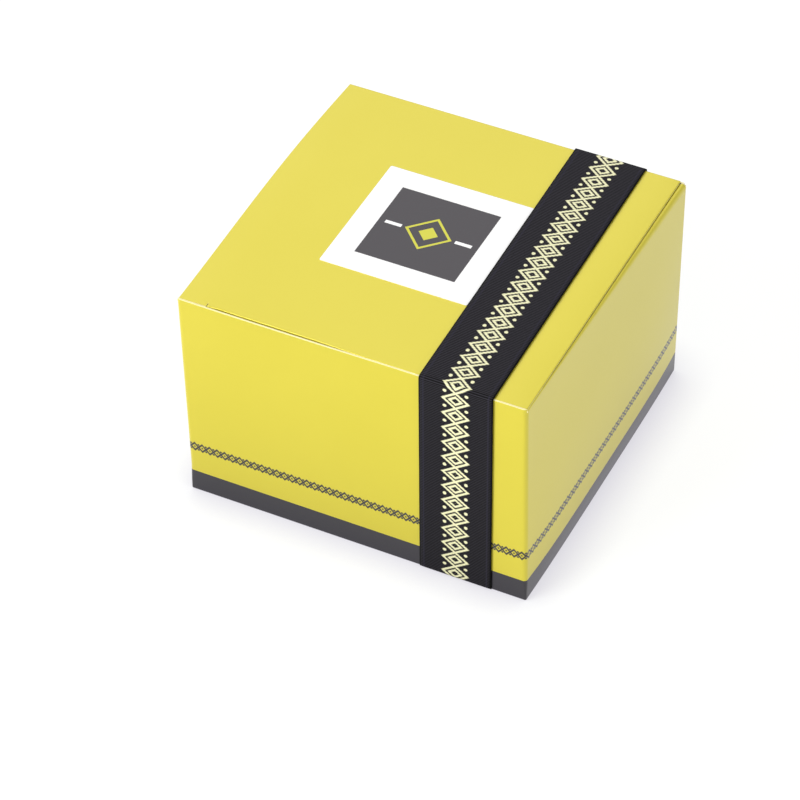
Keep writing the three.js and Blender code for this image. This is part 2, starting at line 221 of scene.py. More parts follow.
@dataclass(frozen=True)
class LozengeChain:
    """A chain of lozenges drawn in thin lines, point to point, each with smaller ones inside it.

    Attributes:
        half_height: From the middle of the chain to a lozenge's side corner.
        period: The length of a lozenge along the chain.
        line: The width of a line.
        rings: The sizes of the lozenges drawn, as shares of the outermost.
        heart: The size of the filled lozenge in the middle, as a share, or 0 for none.
        dot: The radius of the dots beside the points where the lozenges meet.
        line_softness: The soft edge of a line, as a share of half its width.
        dot_softness: The soft edge of a dot, as a share of its radius.
    """

    half_height: float
    period: float
    line: float
    rings: tuple[float, ...] = (1.0,)
    heart: float = 0.0
    dot: float = 0.0
    line_softness: float = 0.35
    dot_softness: float = 0.15

    def mask(self, tree: NodeTree, along: NodeSocket, across: NodeSocket) -> Node:
        """Builds the nodes that are 1 on the chain's lines and 0 elsewhere.

        Args:
            tree: The material's tree.
            along: The distance along the chain, in metres.
            across: The distance from the middle of the chain, in metres.

        Returns:
            The node with the mask.
        """
        half_length = self.period / 2
        reach = add_node(tree, "Math", {0: across}, operation="ABSOLUTE")
        wave = add_node(tree, "Math", {0: along, 1: half_length}, operation="PINGPONG")
        side = add_node(tree, "Math", {0: reach, 1: self.half_height}, operation="DIVIDE")
        end = add_node(tree, "Math", {0: wave, 1: half_length}, operation="DIVIDE")
        size = add_node(tree, "Math", {0: side, 1: end}, operation="ADD")
        depth = self.half_height * half_length / math.hypot(self.half_height, half_length)
        half_line = self.line / 2 / depth
        soft = half_line * self.line_softness
        drawn = self._within(tree, size, self.heart, soft)
        for ring in self.rings:
            apart = add_node(tree, "Math", {0: size, 1: ring}, operation="SUBTRACT")
            away = add_node(tree, "Math", {0: apart}, operation="ABSOLUTE")
            line = self._within(tree, away, half_line, soft)
            drawn = add_node(tree, "Math", {0: drawn, 1: line}, operation="MAXIMUM")
        beside = add_node(tree, "Math", {0: reach, 1: self.half_height - self.dot}, operation="SUBTRACT")
        before = add_node(tree, "Math", {0: half_length, 1: wave}, operation="SUBTRACT")
        spot = add_node(tree, "CombineXYZ", {0: beside, 1: before})
        radius = add_node(tree, "VectorMath", {0: spot}, operation="LENGTH").outputs["Value"]
        dots = self._within(tree, radius, self.dot, self.dot * self.dot_softness)
        return add_node(tree, "Math", {0: drawn, 1: dots}, operation="MAXIMUM")

    @staticmethod
    def _within(tree: NodeTree, value: Any, limit: float, soft: float) -> Node:
        """Builds a mask that is 1 where a value is under a limit, with a narrow soft edge."""
        return add_node(
            tree,
            "MapRange",
            {"Value": value, "From Min": limit - soft, "From Max": limit + soft, "To Min": 1, "To Max": 0},
        )


@dataclass(frozen=True)
class PearlBoard(Finish):
    """Folding boxboard, offset printed and pearl varnished.

    The varnish gives a satin sheen whose highlights keep the colour of the print, and the board's fibres
    show through it as a very faint unevenness.

    Attributes:
        deep_colour: The print where it lies thicker, in soft clouds.
        metallic: How far the highlights keep the print's colour.
        ink: The colour of the band and the border, on a sheet that has them.
        ink_band: The height of the band's upper edge.
        border_middle: The height of the border's middle.
        painted_highlight_from: The height above which the fold at the top carries a painted highlight.
        painted_highlight_colour: The colour of that painted highlight.
    """

    name: str = "pearl_varnished_boxboard"
    colour: str = "#d8ca33"
    deep_colour: str = "#d4c62c"
    metallic: float = 0.25
    roughness: float = 0.34
    roughness_change: float = 0.04
    ior: float = 1.5
    coat: float = 0.3
    coat_roughness: float = 0.2
    fibre: float = 0.7 * MM
    fibre_detail: float = 3.0
    fibre_depth: float = 0.012 * MM
    bump: float = 0.6
    cloud: float = 30 * MM
    cloud_detail: float = 2.0
    ink: str | None = None
    ink_band: float = 8 * MM
    border_middle: float = 19 * MM
    border: LozengeChain = LozengeChain(1.5 * MM, 2.7 * MM, 0.66 * MM, heart=0.3, dot=0.38 * MM)
    painted_highlight_from: float = 81.3 * MM
    painted_highlight_colour: str = "#fbf2a8"

    def shader(self, tree: NodeTree) -> Node:
        """Builds the print, the varnish and the fibres that show through them."""
        places = add_node(tree, "TexCoord").outputs["Object"]
        cloud = add_node(
            tree, "TexNoise", {"Vector": places, "Scale": 1 / self.cloud, "Detail": self.cloud_detail}
        )
        colour = add_node(
            tree,
            "Mix",
            {"Factor": cloud, "A": linear(self.colour), "B": linear(self.deep_colour)},
            data_type="RGBA",
        ).outputs["Result"]
        if self.ink is not None:
            colour = self._printed(tree, colour)
        fibres = add_node(
            tree, "TexNoise", {"Vector": places, "Scale": 1 / self.fibre, "Detail": self.fibre_detail}
        )
        bump = add_node(
            tree, "Bump", {"Height": fibres, "Distance": self.fibre_depth, "Strength": self.bump}
        )
        least, most = self.roughness - self.roughness_change, self.roughness + self.roughness_change
        rough = add_node(tree, "MapRange", {"Value": fibres, "To Min": least, "To Max": most})
        return add_node(
            tree,
            "BsdfPrincipled",
            {
                "Base Color": colour, "Metallic": self.metallic, "Roughness": rough, "IOR": self.ior,
                "Normal": bump, "Coat Weight": self.coat, "Coat Roughness": self.coat_roughness,
            },
        )

    def _printed(self, tree: NodeTree, ground: NodeSocket) -> NodeSocket:
        """Prints the dark band and the border over a ground colour, and paints a pale highlight along the
        top edge.

        Args:
            tree: The material's tree.
            ground: The colour of the bare print.

        Returns:
            The colour with the band and the border on it.
        """
        flat = add_node(tree, "UVMap", uv_map=UV_NAME)
        split = add_node(tree, "SeparateXYZ", {0: flat})
        along, height = split.outputs["X"], split.outputs["Y"]
        band = add_node(tree, "Math", {0: height, 1: self.ink_band}, operation="LESS_THAN")
        across = add_node(tree, "Math", {0: height, 1: self.border_middle}, operation="SUBTRACT")
        border = self.border.mask(tree, along, across.outputs[0])
        inked = add_node(tree, "Math", {0: band, 1: border}, operation="MAXIMUM")
        # A pale strip along the top: a painted highlight on the fold at the top edge.
        painted_top_highlight = add_node(tree, "Math", {0: height, 1: self.painted_highlight_from}, operation="GREATER_THAN")
        colour = ground
        for mask, ink in ((inked, self.ink), (painted_top_highlight, self.painted_highlight_colour)):
            colour = add_node(
                tree, "Mix", {"Factor": mask, "A": colour, "B": linear(ink)}, data_type="RGBA"
            ).outputs["Result"]
        return colour


@dataclass(frozen=True)
class BareBoard(Finish):
    """Uncoated board, pressed from pulp: matt, a little grey and warm, with short streaks of fibre.

    Attributes:
        fibre_colour: The darker fibres in it.
        streak: How much finer they are each way than along their length.
        twist: How far they wind.
        fibre_from: The value of the noise from which a fibre shows.
        fibre_full: The value at which it shows fully.
    """

    name: str = "uncoated_boxboard"
    colour: str = "#ece7d8"
    fibre_colour: str = "#d9d2bf"
    roughness: float = 0.88
    ior: float = 1.45
    fibre: float = 0.9 * MM
    fibre_detail: float = 4.0
    fibre_depth: float = 0.03 * MM
    bump: float = 0.7
    streak: tuple[float, float, float] = (1.0, 2.6, 2.6)
    twist: float = 1.2
    fibre_from: float = 0.45
    fibre_full: float = 0.75

    def shader(self, tree: NodeTree) -> Node:
        """Builds the fibres as streaked noise in colour and height."""
        places = add_node(tree, "TexCoord").outputs["Object"]
        streaks = add_node(tree, "Mapping", {"Vector": places, "Scale": self.streak})
        noise = {"Scale": 1 / self.fibre, "Detail": self.fibre_detail, "Distortion": self.twist}
        fibres = add_node(tree, "TexNoise", {"Vector": streaks, **noise})
        share = add_node(
            tree, "MapRange", {"Value": fibres, "From Min": self.fibre_from, "From Max": self.fibre_full}
        )
        colour = add_node(
            tree,
            "Mix",
            {"Factor": share, "A": linear(self.colour), "B": linear(self.fibre_colour)},
            data_type="RGBA",
        ).outputs["Result"]
        bump = add_node(
            tree, "Bump", {"Height": fibres, "Distance": self.fibre_depth, "Strength": self.bump}
        )
        return add_node(
            tree,
            "BsdfPrincipled",
            {"Base Color": colour, "Roughness": self.roughness, "IOR": self.ior, "Normal": bump},
        )


@dataclass(frozen=True)
class PrintedLabel(Finish):
    """Coated label paper, digitally printed: white, smooth, with a dark square that holds a plain ornament.

    Attributes:
        centre: The middle of the label in the frame.
        ink: The dark square.
        accent: The ornament.
        square: Half the side of the dark square.
        lozenge: The half width of the ornament's outer lozenge.
        lozenge_line: The width of its line.
        lozenge_heart: The half width of the filled lozenge inside it.
        rule_near: Where the rules beside the lozenge begin, from the middle.
        rule_far: Where they end.
        rule_width: How wide they are.
    """

    centre: tuple[float, float, float]
    name: str = "coated_label_paper"
    paper: str = "#fefefd"
    ink: str = "#3f3b40"
    accent: str = "#d6d33f"
    roughness: float = 0.42
    ior: float = 1.48
    square: float = 17.5 * MM
    lozenge: float = 8.2 * MM
    lozenge_line: float = 1.2 * MM
    lozenge_heart: float = 3.4 * MM
    rule_near: float = 9.4 * MM
    rule_far: float = 15.2 * MM
    rule_width: float = 1.4 * MM
    grain: float = 0.25 * MM
    grain_depth: float = 0.006 * MM
    bump: float = 0.5

    def shader(self, tree: NodeTree) -> Node:
        """Builds the paper, the dark square, the lozenge and the rules beside it."""
        places = add_node(tree, "TexCoord").outputs["Object"]
        local = add_node(tree, "VectorMath", {0: places, 1: self.centre}, operation="SUBTRACT")
        folded = add_node(tree, "VectorMath", {0: local}, operation="ABSOLUTE")
        split = add_node(tree, "SeparateXYZ", {0: folded})
        x, y = split.outputs["X"], split.outputs["Y"]
        reach = add_node(tree, "Math", {0: x, 1: y}, operation="MAXIMUM")
        square = add_node(tree, "Math", {0: reach, 1: self.square}, operation="LESS_THAN")
        slant = add_node(tree, "Math", {0: x, 1: y}, operation="ADD")
        middle = self.lozenge - self.lozenge_line / 2
        ring = add_node(tree, "Math", {0: slant, 1: middle, 2: self.lozenge_line / 2}, operation="COMPARE")
        heart = add_node(tree, "Math", {0: slant, 1: self.lozenge_heart}, operation="LESS_THAN")
        ornament = add_node(tree, "Math", {0: ring, 1: heart}, operation="MAXIMUM")
        run = add_node(
            tree,
            "Math",
            {0: x, 1: (self.rule_near + self.rule_far) / 2, 2: (self.rule_far - self.rule_near) / 2},
            operation="COMPARE",
        )
        thin = add_node(tree, "Math", {0: y, 1: self.rule_width / 2}, operation="LESS_THAN")
        rules = add_node(tree, "Math", {0: run, 1: thin}, operation="MULTIPLY")
        colour: Any = linear(self.paper)
        for mask, ink in ((square, self.ink), (ornament, self.accent), (rules, self.paper)):
            colour = add_node(
                tree, "Mix", {"Factor": mask, "A": colour, "B": linear(ink)}, data_type="RGBA"
            ).outputs["Result"]
        grain = add_node(tree, "TexNoise", {"Vector": places, "Scale": 1 / self.grain})
        bump = add_node(
            tree, "Bump", {"Height": grain, "Distance": self.grain_depth, "Strength": self.bump}
        )
        return add_node(
            tree,
            "BsdfPrincipled",
            {"Base Color": colour, "Roughness": self.roughness, "IOR": self.ior, "Normal": bump},
        )


@dataclass(frozen=True)
class Grosgrain(Finish):
    """Polyester grosgrain, woven: matt black cross ribs, smoother selvedges, a cream figure woven into it.

    Attributes:
        crown: The top of a rib: the black yarn with a painted highlight.
        painted_groove_shade: The black yarn between two ribs, with painted shade.
        selvedge: The line along the edge.
        figure_in_painted_shade: The figure between two ribs, with painted shade.
        rib_pitch: From rib to rib.
        yarn_stretch: How the yarn is drawn out across the ribbon.
        twist_low: The height of the thinnest yarn, as a share of a rib.
        twist_high: The height of the thickest.
        selvedge_inset: From the edge to the line along it.
        selvedge_line: The width of that line.
        painted_shade_rim: The width of the dark rim along each edge, which is painted shade.
        relief: How far the figure and the yarn stand up.
        specular: How much of its gloss the weave leaves.
    """

    name: str = "woven_grosgrain_ribbon"
    crown: str = "#3a383f"
    painted_groove_shade: str = "#020202"
    selvedge: str = "#302e3c"
    figure: str = "#fbf9d2"
    figure_in_painted_shade: str = "#e2dfae"
    width: float = 25 * MM
    rib_pitch: float = 0.7 * MM
    yarn: float = 0.24 * MM
    yarn_detail: float = 2.0
    yarn_stretch: tuple[float, float, float] = (0.35, 1.0, 1.0)
    twist_low: float = 0.5
    twist_high: float = 1.1
    selvedge_inset: float = 1.5 * MM
    selvedge_line: float = 0.5 * MM
    painted_shade_rim: float = 0.4 * MM
    relief: float = 0.04 * MM
    bump: float = 0.6
    roughness: float = 0.72
    ior: float = 1.5
    specular: float = 0.08
    sheen: float = 0.04
    sheen_roughness: float = 0.5
    chain: LozengeChain = LozengeChain(4.3 * MM, 6.2 * MM, 0.75 * MM, rings=(1.0, 0.48), dot=0.62 * MM)

    def shader(self, tree: NodeTree) -> Node:
        """Builds the ribs, the selvedges and the woven figure on the ribbon's own flat coordinates."""
        flat = add_node(tree, "UVMap", uv_map=UV_NAME)
        split = add_node(tree, "SeparateXYZ", {0: flat})
        across, along = split.outputs["X"], split.outputs["Y"]
        turn = add_node(tree, "Math", {0: along, 1: 2 * math.pi / self.rib_pitch}, operation="MULTIPLY")
        wave = add_node(tree, "Math", {0: turn}, operation="COSINE")
        height = add_node(tree, "MapRange", {"Value": wave, "From Min": -1, "From Max": 1})
        stretch = add_node(tree, "Mapping", {"Vector": flat, "Scale": self.yarn_stretch})
        yarn = add_node(
            tree, "TexNoise", {"Vector": stretch, "Scale": 1 / self.yarn, "Detail": self.yarn_detail}
        )
        twist = add_node(
            tree, "MapRange", {"Value": yarn, "To Min": self.twist_low, "To Max": self.twist_high}
        )
        # The crowns of the ribs take a painted highlight and the grooves take painted shade.
        lift = add_node(tree, "Math", {0: height, 1: twist}, operation="MULTIPLY")
        reach = add_node(tree, "Math", {0: across}, operation="ABSOLUTE")
        seam = add_node(
            tree,
            "Math",
            {0: reach, 1: self.width / 2 - self.selvedge_inset, 2: self.selvedge_line / 2},
            operation="COMPARE",
        )
        seam_share = add_node(tree, "Math", {0: seam, 1: yarn}, operation="MULTIPLY")
        # A dark rim along both edges: painted shade where the ribbon's edge stands.
        rim = add_node(
            tree, "Math", {0: reach, 1: self.width / 2 - self.painted_shade_rim}, operation="GREATER_THAN"
        )
        ground: Any = linear(self.painted_groove_shade)
        for mask, yarns in ((lift, self.crown), (seam_share, self.selvedge), (rim, self.painted_groove_shade)):
            ground = add_node(
                tree, "Mix", {"Factor": mask, "A": ground, "B": linear(yarns)}, data_type="RGBA"
            ).outputs["Result"]
        # The cream figure too is painted lighter on the crowns and darker between them: painted highlight
        # and painted shade.
        woven = add_node(
            tree,
            "Mix",
            {"Factor": height, "A": linear(self.figure_in_painted_shade), "B": linear(self.figure)},
            data_type="RGBA",
        ).outputs["Result"]
        figure = self.chain.mask(tree, along, across)
        colour = add_node(
            tree, "Mix", {"Factor": figure, "A": ground, "B": woven}, data_type="RGBA"
        ).outputs["Result"]
        relief = add_node(tree, "Math", {0: figure, 1: yarn}, operation="ADD")
        bump = add_node(tree, "Bump", {"Height": relief, "Distance": self.relief, "Strength": self.bump})
        return add_node(
            tree,
            "BsdfPrincipled",
            {
                "Base Color": colour, "Roughness": self.roughness, "IOR": self.ior, "Normal": bump,
                "Specular IOR Level": self.specular, "Sheen Weight": self.sheen,
                "Sheen Roughness": self.sheen_roughness,
            },
        )


@dataclass(frozen=True)
class Foil(Finish):
    """Paper-backed aluminium foil, lacquered in a tint: metallic, with fine wrinkles from the wrapping.

    Attributes:
        metallic: How far the metal shows through the lacquer.
        grains: How many grains there are along a wrinkle.
    """

    name: str
    colour: str
    roughness: float = 0.36
    roughness_change: float = 0.06
    metallic: float = 0.85
    wrinkle: float = 3.2 * MM
    wrinkle_depth: float = 0.12 * MM
    bump: float = 0.5
    grains: float = 3.0
    grain_detail: float = 3.0

    def shader(self, tree: NodeTree) -> Node:
        """Builds the tinted metal and its wrinkles."""
        places = add_node(tree, "TexCoord").outputs["Object"]
        creases = add_node(
            tree, "TexVoronoi", {"Vector": places, "Scale": 1 / self.wrinkle}, feature="SMOOTH_F1"
        )
        grain = add_node(
            tree,
            "TexNoise",
            {"Vector": places, "Scale": self.grains / self.wrinkle, "Detail": self.grain_detail},
        )
        relief = add_node(tree, "Math", {0: creases.outputs["Distance"], 1: grain}, operation="ADD")
        bump = add_node(
            tree, "Bump", {"Height": relief, "Distance": self.wrinkle_depth, "Strength": self.bump}
        )
        least, most = self.roughness - self.roughness_change, self.roughness + self.roughness_change
        rough = add_node(tree, "MapRange", {"Value": grain, "To Min": least, "To Max": most})
        return add_node(
            tree,
            "BsdfPrincipled",
            {
                "Base Color": linear(self.colour), "Metallic": self.metallic, "Roughness": rough,
                "Normal": bump,
            },
        )


WALL_BOARD = PearlBoard(name="pearl_boxboard_printed_walls", ink="#252229")
LID_BOARD = PearlBoard(name="pearl_boxboard_plain_lid")
FOOT_BOARD = PearlBoard(
    name="pearl_boxboard_dark_foot", colour="#29262d", deep_colour="#252229", metallic=0.1, roughness=0.42
)
INSIDE_BOARD = BareBoard()
CUT_EDGE = BareBoard(
    name="die_cut_board_edge", colour="#fbf1b4", fibre_colour="#f0e5a0", fibre=0.3 * MM, roughness=0.8
)
PAD_CARD = BareBoard(name="grey_lined_pad_card", colour="#f0eee6", fibre_colour="#dcd8cc", fibre=1.4 * MM)
RIBBON_WEAVE = Grosgrain()


# Folded board


class BoardFace(IntEnum):
    """The surfaces of a sheet of board, by the index of their material."""

    PRINT = 0
    INSIDE = 1
    EDGE = 2


@dataclass(frozen=True)
class BoardPoint:
    """A point on the printed face of a sheet of board.

    Attributes:
        place: Where the point is.
        outward: The unit direction that the printed face looks in there.
        flat: The point's place on the flat print.
        inside: The point behind it on the inside face, if that isn't straight behind.
    """

    place: Vector
    outward: Vector
    flat: tuple[float, float]
    inside: Vector | None = None


@dataclass(frozen=True)
class BoardSheet:
    """A folded sheet of board, drawn as lines of points across it.

    Attributes:
        lines: The lines, each with the same count of points.
        thickness: The board's thickness.
        is_cut: Says of a cell, by its line and its column, whether it is cut away.
    """

    lines: Sequence[Sequence[BoardPoint]]
    thickness: float
    is_cut: Callable[[int, int], bool] = field(default=lambda line, column: False)

    def build(self, name: str, printed: Finish) -> Object:
        """Builds the sheet: its printed face, its inside face and the cut rim between them.

        Args:
            name: The piece's name.
            printed: The finish of the printed face.

        Returns:
            The sheet as an object.
        """
        build = bmesh.new()
        flat_layer = build.loops.layers.uv.new(UV_NAME)
        flats: dict[BMVert, tuple[float, float]] = {}
        inside_of: dict[BMVert, BMVert] = {}
        grid: list[list[BMVert]] = []
        for line in self.lines:
            row = []
            for point in line:
                vertex = build.verts.new(point.place)
                behind = point.inside or point.place - point.outward * self.thickness
                back = build.verts.new(behind)
                inside_of[vertex] = back
                flats[vertex] = flats[back] = point.flat
                row.append(vertex)
            grid.append(row)
        for i in range(len(grid) - 1):
            for j in range(len(grid[0]) - 1):
                if self.is_cut(i, j):
                    continue
                cell = (grid[i][j], grid[i][j + 1], grid[i + 1][j + 1], grid[i + 1][j])
                build.faces.new(cell).material_index = BoardFace.PRINT
                build.faces.new([inside_of[v] for v in reversed(cell)]).material_index = BoardFace.INSIDE
        rim = [e for e in build.edges if len(e.link_faces) == 1 and e.verts[0] in inside_of]
        for edge in rim:
            first, last = edge.verts
            cell = (first, last, inside_of[last], inside_of[first])
            build.faces.new(cell).material_index = BoardFace.EDGE
        loose = [v for v in build.verts if not v.link_faces]
        bmesh.ops.delete(build, geom=loose, context="VERTS")
        bmesh.ops.recalc_face_normals(build, faces=build.faces)
        for face in build.faces:
            face.smooth = face.material_index != BoardFace.EDGE
            for loop in face.loops:
                loop[flat_layer].uv = flats[loop.vert]
        for edge in build.edges:
            edge.smooth = len({f.material_index for f in edge.link_faces}) == 1
        materials = [printed.material(), INSIDE_BOARD.material(), CUT_EDGE.material()]
        return finish_mesh(name, build, materials)


@dataclass(frozen=True)
class Bend:
    """A place on the profile of a folded sheet, with the way it faces and its length along the profile."""

    place: Vector
    outward: Vector
    along: float


@dataclass
class Profile:
    """The profile of a folded sheet, drawn from its first crease to its free edge."""

    bends: list[Bend] = field(default_factory=list)

    def fold(self, centre: Vector, start: Vector, end: Vector, radius: float) -> Profile:
        """Adds a rounded fold.

        Args:
            centre: The centre of the fold's round.
            start: The unit direction that the board faces before the fold.
            end: The unit direction that it faces after the fold.
            radius: The fold's radius on the printed face.

        Returns:
            The profile itself.
        """
        begin = self.bends[-1].along if self.bends else 0.0
        angle = start.angle(end)
        for step in range(FOLD_STEPS + 1):
            outward = start.slerp(end, step / FOLD_STEPS)
            place = centre + outward * radius
            self.bends.append(Bend(place, outward, begin + radius * angle * step / FOLD_STEPS))
        return self

    def run(self, direction: Vector, stops: Iterable[float]) -> Profile:
        """Adds a flat stretch after the last fold.

        Args:
            direction: The unit direction of the stretch.
            stops: The distances from the last fold at which a line crosses the sheet.

        Returns:
            The profile itself.
        """
        last = self.bends[-1]
        for stop in stops:
            self.bends.append(Bend(last.place + direction * stop, last.outward, last.along + stop))
        return self

    @property
    def begin(self) -> Vector:
        """The first place of the profile."""
        return self.bends[0].place

    def lines(self, axis: Vector, across: Callable[[float], Sequence[float]]) -> list[list[BoardPoint]]:
        """Draws the profile out into lines across the sheet.

        Args:
            axis: The direction of the crease.
            across: Gives, for a length along the profile, where the points of its line lie along the crease.

        Returns:
            The lines of points.
        """
        return [
            [BoardPoint(b.place + axis * a, b.outward, (a, b.along)) for a in across(b.along)]
            for b in self.bends
        ]


def evenly(first: float, last: float, count: int) -> list[float]:
    """Spreads values evenly, both ends included.

    Args:
        first: The first value.
        last: The last value.
        count: How many stretches lie between them.

    Returns:
        The values.
    """
    return [first + (last - first) * i / count for i in range(count + 1)]


def rise(value: float, low: float, high: float) -> float:
    """Rises smoothly from 0 at low to 1 at high, or falls where high is the lower."""
    share = min(1.0, max(0.0, (value - low) / (high - low)))
    return share * share * (3 - 2 * share)


def corner_stops(start: float, radius: float, steps: int) -> list[float]:
    """Where lines cross a sheet along its round corners, closer towards the free edge."""
    return [start + radius * math.sin(turn) for turn in evenly(0, math.pi / 2, steps)[1:]]


def corner_cut(past: float, radius: float) -> float:
    """How far a round corner draws an edge in, at a distance past the corner's start."""
    share = min(1.0, max(0.0, past) / radius)
    return radius * (1 - math.sqrt(1 - share * share))


def corner_sides(quarter: int) -> tuple[int, int]:
    """The sides in x and y of a rectangle's corner, counted round from the one where both are 1."""
    return 1 if quarter % 4 in (0, 3) else -1, 1 if quarter % 4 in (0, 1) else -1


@dataclass
class Carton:
    """The folding carton: one printed sheet with its walls, lid, flaps and snap-lock base.

    The fields that end in rows, columns or steps say how many faces a sheet, a fold or a corner has. The
    folds and the corners are radii on the printed face.

    Attributes:
        fold: The radius of a fold on the printed face.
        front_fold: The radius of the two upright folds beside the front.
        foot_corner: The radius of those folds at the foot.
        foot_corner_reach: The heights at which they begin to sharpen and at which they are sharp.
        dust_fold_front: The radius of a dust flap's fold at its front end, where the lid lies close.
        dust_fold_back: The radius towards its back end, where the lid leaves room beside it.
        foot_sag: How far the walls' foot sags beside the ribbon that the base stands on.
        cut_back: How far the back wall's glued edge is cut back from the corner.
        bow: How far the top of the front wall bulges out between the corner and the ribbon.
        bow_middle: Where along the front it bulges most.
        bow_reach: How far from there the bulge has gone on the right.
        bow_left: How far from there it would have gone on the left, past the corner.
        bow_from: The share of the lid's depth at which the lid begins to follow that bulge.
        side_bow: How far the lower part of the right wall bulges out.
        side_bow_foot: The shares of the height between which that bulge begins.
        side_bow_top: The shares of the height at which it has gone and below which it is full.
        side_bow_flatness: How flat it is along the wall, as a power.
        ease_near: The distance from a wall within which the board moves fully with it.
        ease_far: The distance at which it no longer moves.
        lean_left: How far the left front corner's top leans out, beside the lid's left edge.
        lean_front: How far the right wall's top leans out at its front end.
        lean_back: How far it leans out at its back end.
        gap_open: How much further the lid's front stands off the wall where the closure gapes.
        gap_shut: How much closer it stands beside the ribbon and at the corners.
        gape_left: From the left slit to where the closure begins to gape and gapes fully.
        gape_right: From the ribbon to where it is shut and gapes fully.
        tick: The length of the slit's end that shows in the lid.
        edge_roll: The radius to which the die rolls the lid's side edges over.
        support: The distance from a fold at which a line keeps the flat board beside it flat.
        spring: How far a dust flap's fold stands up beside the lid.
        spring_share: The most that it stands up, as a share of the room beside the lid.
        spring_reach: How far into the flap the fold's own shape goes on.
        lid_right_front: Where the lid's right edge ends at the front.
        lid_right_back: Where it ends at the back.
        lid_left_front: Where the lid's left edge ends at the front.
        lid_left_back: Where it ends at the back.
        lid_left_bulge: How far the left edge stands out between them, with the wall below it.
        lid_left_skew: How far back it stands out most, as a power.
        slit_length: From a side wall to the end of the slit beside the tuck flap.
        tuck_edge: The least width of the tuck flap's side columns.
        tuck_straightens: How much of the front's bulge the tuck flap has lost at its foot.
        dust_back_round: How round a dust flap's back corner is, as a share of its front one.
        dust_root: How far a dust flap's root is as wide as its fold.
        dust_clear: The room between a dust flap's fold and the front wall.
        dust_taper: How far a dust flap's back edge slants.
        glue_taper: How far the glue flap's ends are cut back, and cut slanting.
        glue_foot: The depth of the rows at the glue flap's lower end.
    """

    fold: float = 1.0 * MM
    front_fold: float = 1.45 * MM
    foot_corner: float = 0.5 * MM
    foot_corner_reach: tuple[float, float] = (12 * MM, 1 * MM)
    back_fold: float = 0.6 * MM
    lid_fold: float = 0.6 * MM
    dust_fold_front: float = 0.6 * MM
    dust_fold_back: float = 1.85 * MM
    foot_fold: float = 0.35 * MM
    foot_steps: int = 5
    foot_sag: float = 0.5 * MM
    wall_rows: int = 24
    back_steps: int = 16
    side_steps: int = 16
    front_steps: int = 48
    glue_steps: int = 4
    corner_steps: int = 8
    cut_back: float = 0.3 * MM
    bow: float = 0.24 * MM
    bow_middle: float = -23 * MM
    bow_reach: float = 37 * MM
    bow_left: float = 44 * MM
    bow_from: float = 0.3
    side_bow: float = 1.15 * MM
    side_bow_foot: tuple[float, float] = (-0.08, 0.12)
    side_bow_top: tuple[float, float] = (1.0, 0.3)
    side_bow_flatness: int = 4
    ease_near: float = 2 * MM
    ease_far: float = 20 * MM
    lean_left: float = 0.6 * MM
    lean_front: float = -0.55 * MM
    lean_back: float = 0.95 * MM
    gap_open: float = 0.37 * MM
    gap_shut: float = 0.3 * MM
    gape_left: tuple[float, float] = (-1.5 * MM, 2.5 * MM)
    gape_right: tuple[float, float] = (15 * MM, 38 * MM)
    tick: float = 1.6 * MM
    tick_width: float = 0.3 * MM
    edge_roll: float = 0.3 * MM
    roll_steps: int = 4
    lid_rows: int = 16
    lid_columns: int = 24
    support: float = 0.3 * MM
    spring: float = 0.35 * MM
    spring_share: float = 0.6
    spring_reach: float = 6 * MM
    lid_right_front: float = 59.25 * MM
    lid_right_back: float = 58.9 * MM
    lid_left_front: float = -60.3 * MM
    lid_left_back: float = -60.4 * MM
    lid_left_bulge: float = 1.25 * MM
    lid_left_skew: float = 1.4
    slit_length: float = 9.6 * MM
    slit_depth: float = 1.5 * MM
    tuck_depth: float = 18 * MM
    tuck_fold: float = 0.3 * MM
    tuck_corner: float = 12 * MM
    tuck_rows: int = 4
    tuck_edge: float = 0.5 * MM
    tuck_lean: float = math.radians(7)
    tuck_straightens: float = 0.6
    dust_corner: float = 8 * MM
    dust_back_round: float = 0.6
    dust_root: float = 0.6 * MM
    dust_clear: float = 0.1 * MM
    dust_taper: float = math.radians(30)
    dust_rows: int = 8
    dust_columns: int = 18
    glue_flap: float = 14 * MM
    glue_taper: float = 6 * MM
    glue_foot: float = 0.2 * MM

    def __post_init__(self) -> None:
        """Reads the places of the solids that the carton's sheets stand for."""
        self.walls = Extent.of("carton_sleeve")
        self.lid = Extent.of("lid_panel")
        self.tuck = Extent.of("tuck_flap")
        self.dust = Extent.of("dust_flap_right")
        self.ribbon = Extent.of("ribbon_top")
        self.board = self.lid.size.z
        self.slit_x = self.walls.high.x - self.slit_length

    def build(self) -> None:
        """Builds every sheet of the carton."""
        self._walls()
        self._lid()
        self._tuck_flap()
        for side, name in ((-1, "dust_flap_left"), (1, "dust_flap_right")):
            self._dust_flap(side, name)
        for name in ("base_flap_back", "base_flap_left", "base_flap_right", "base_flap_front"):
            self._base_flap(name)

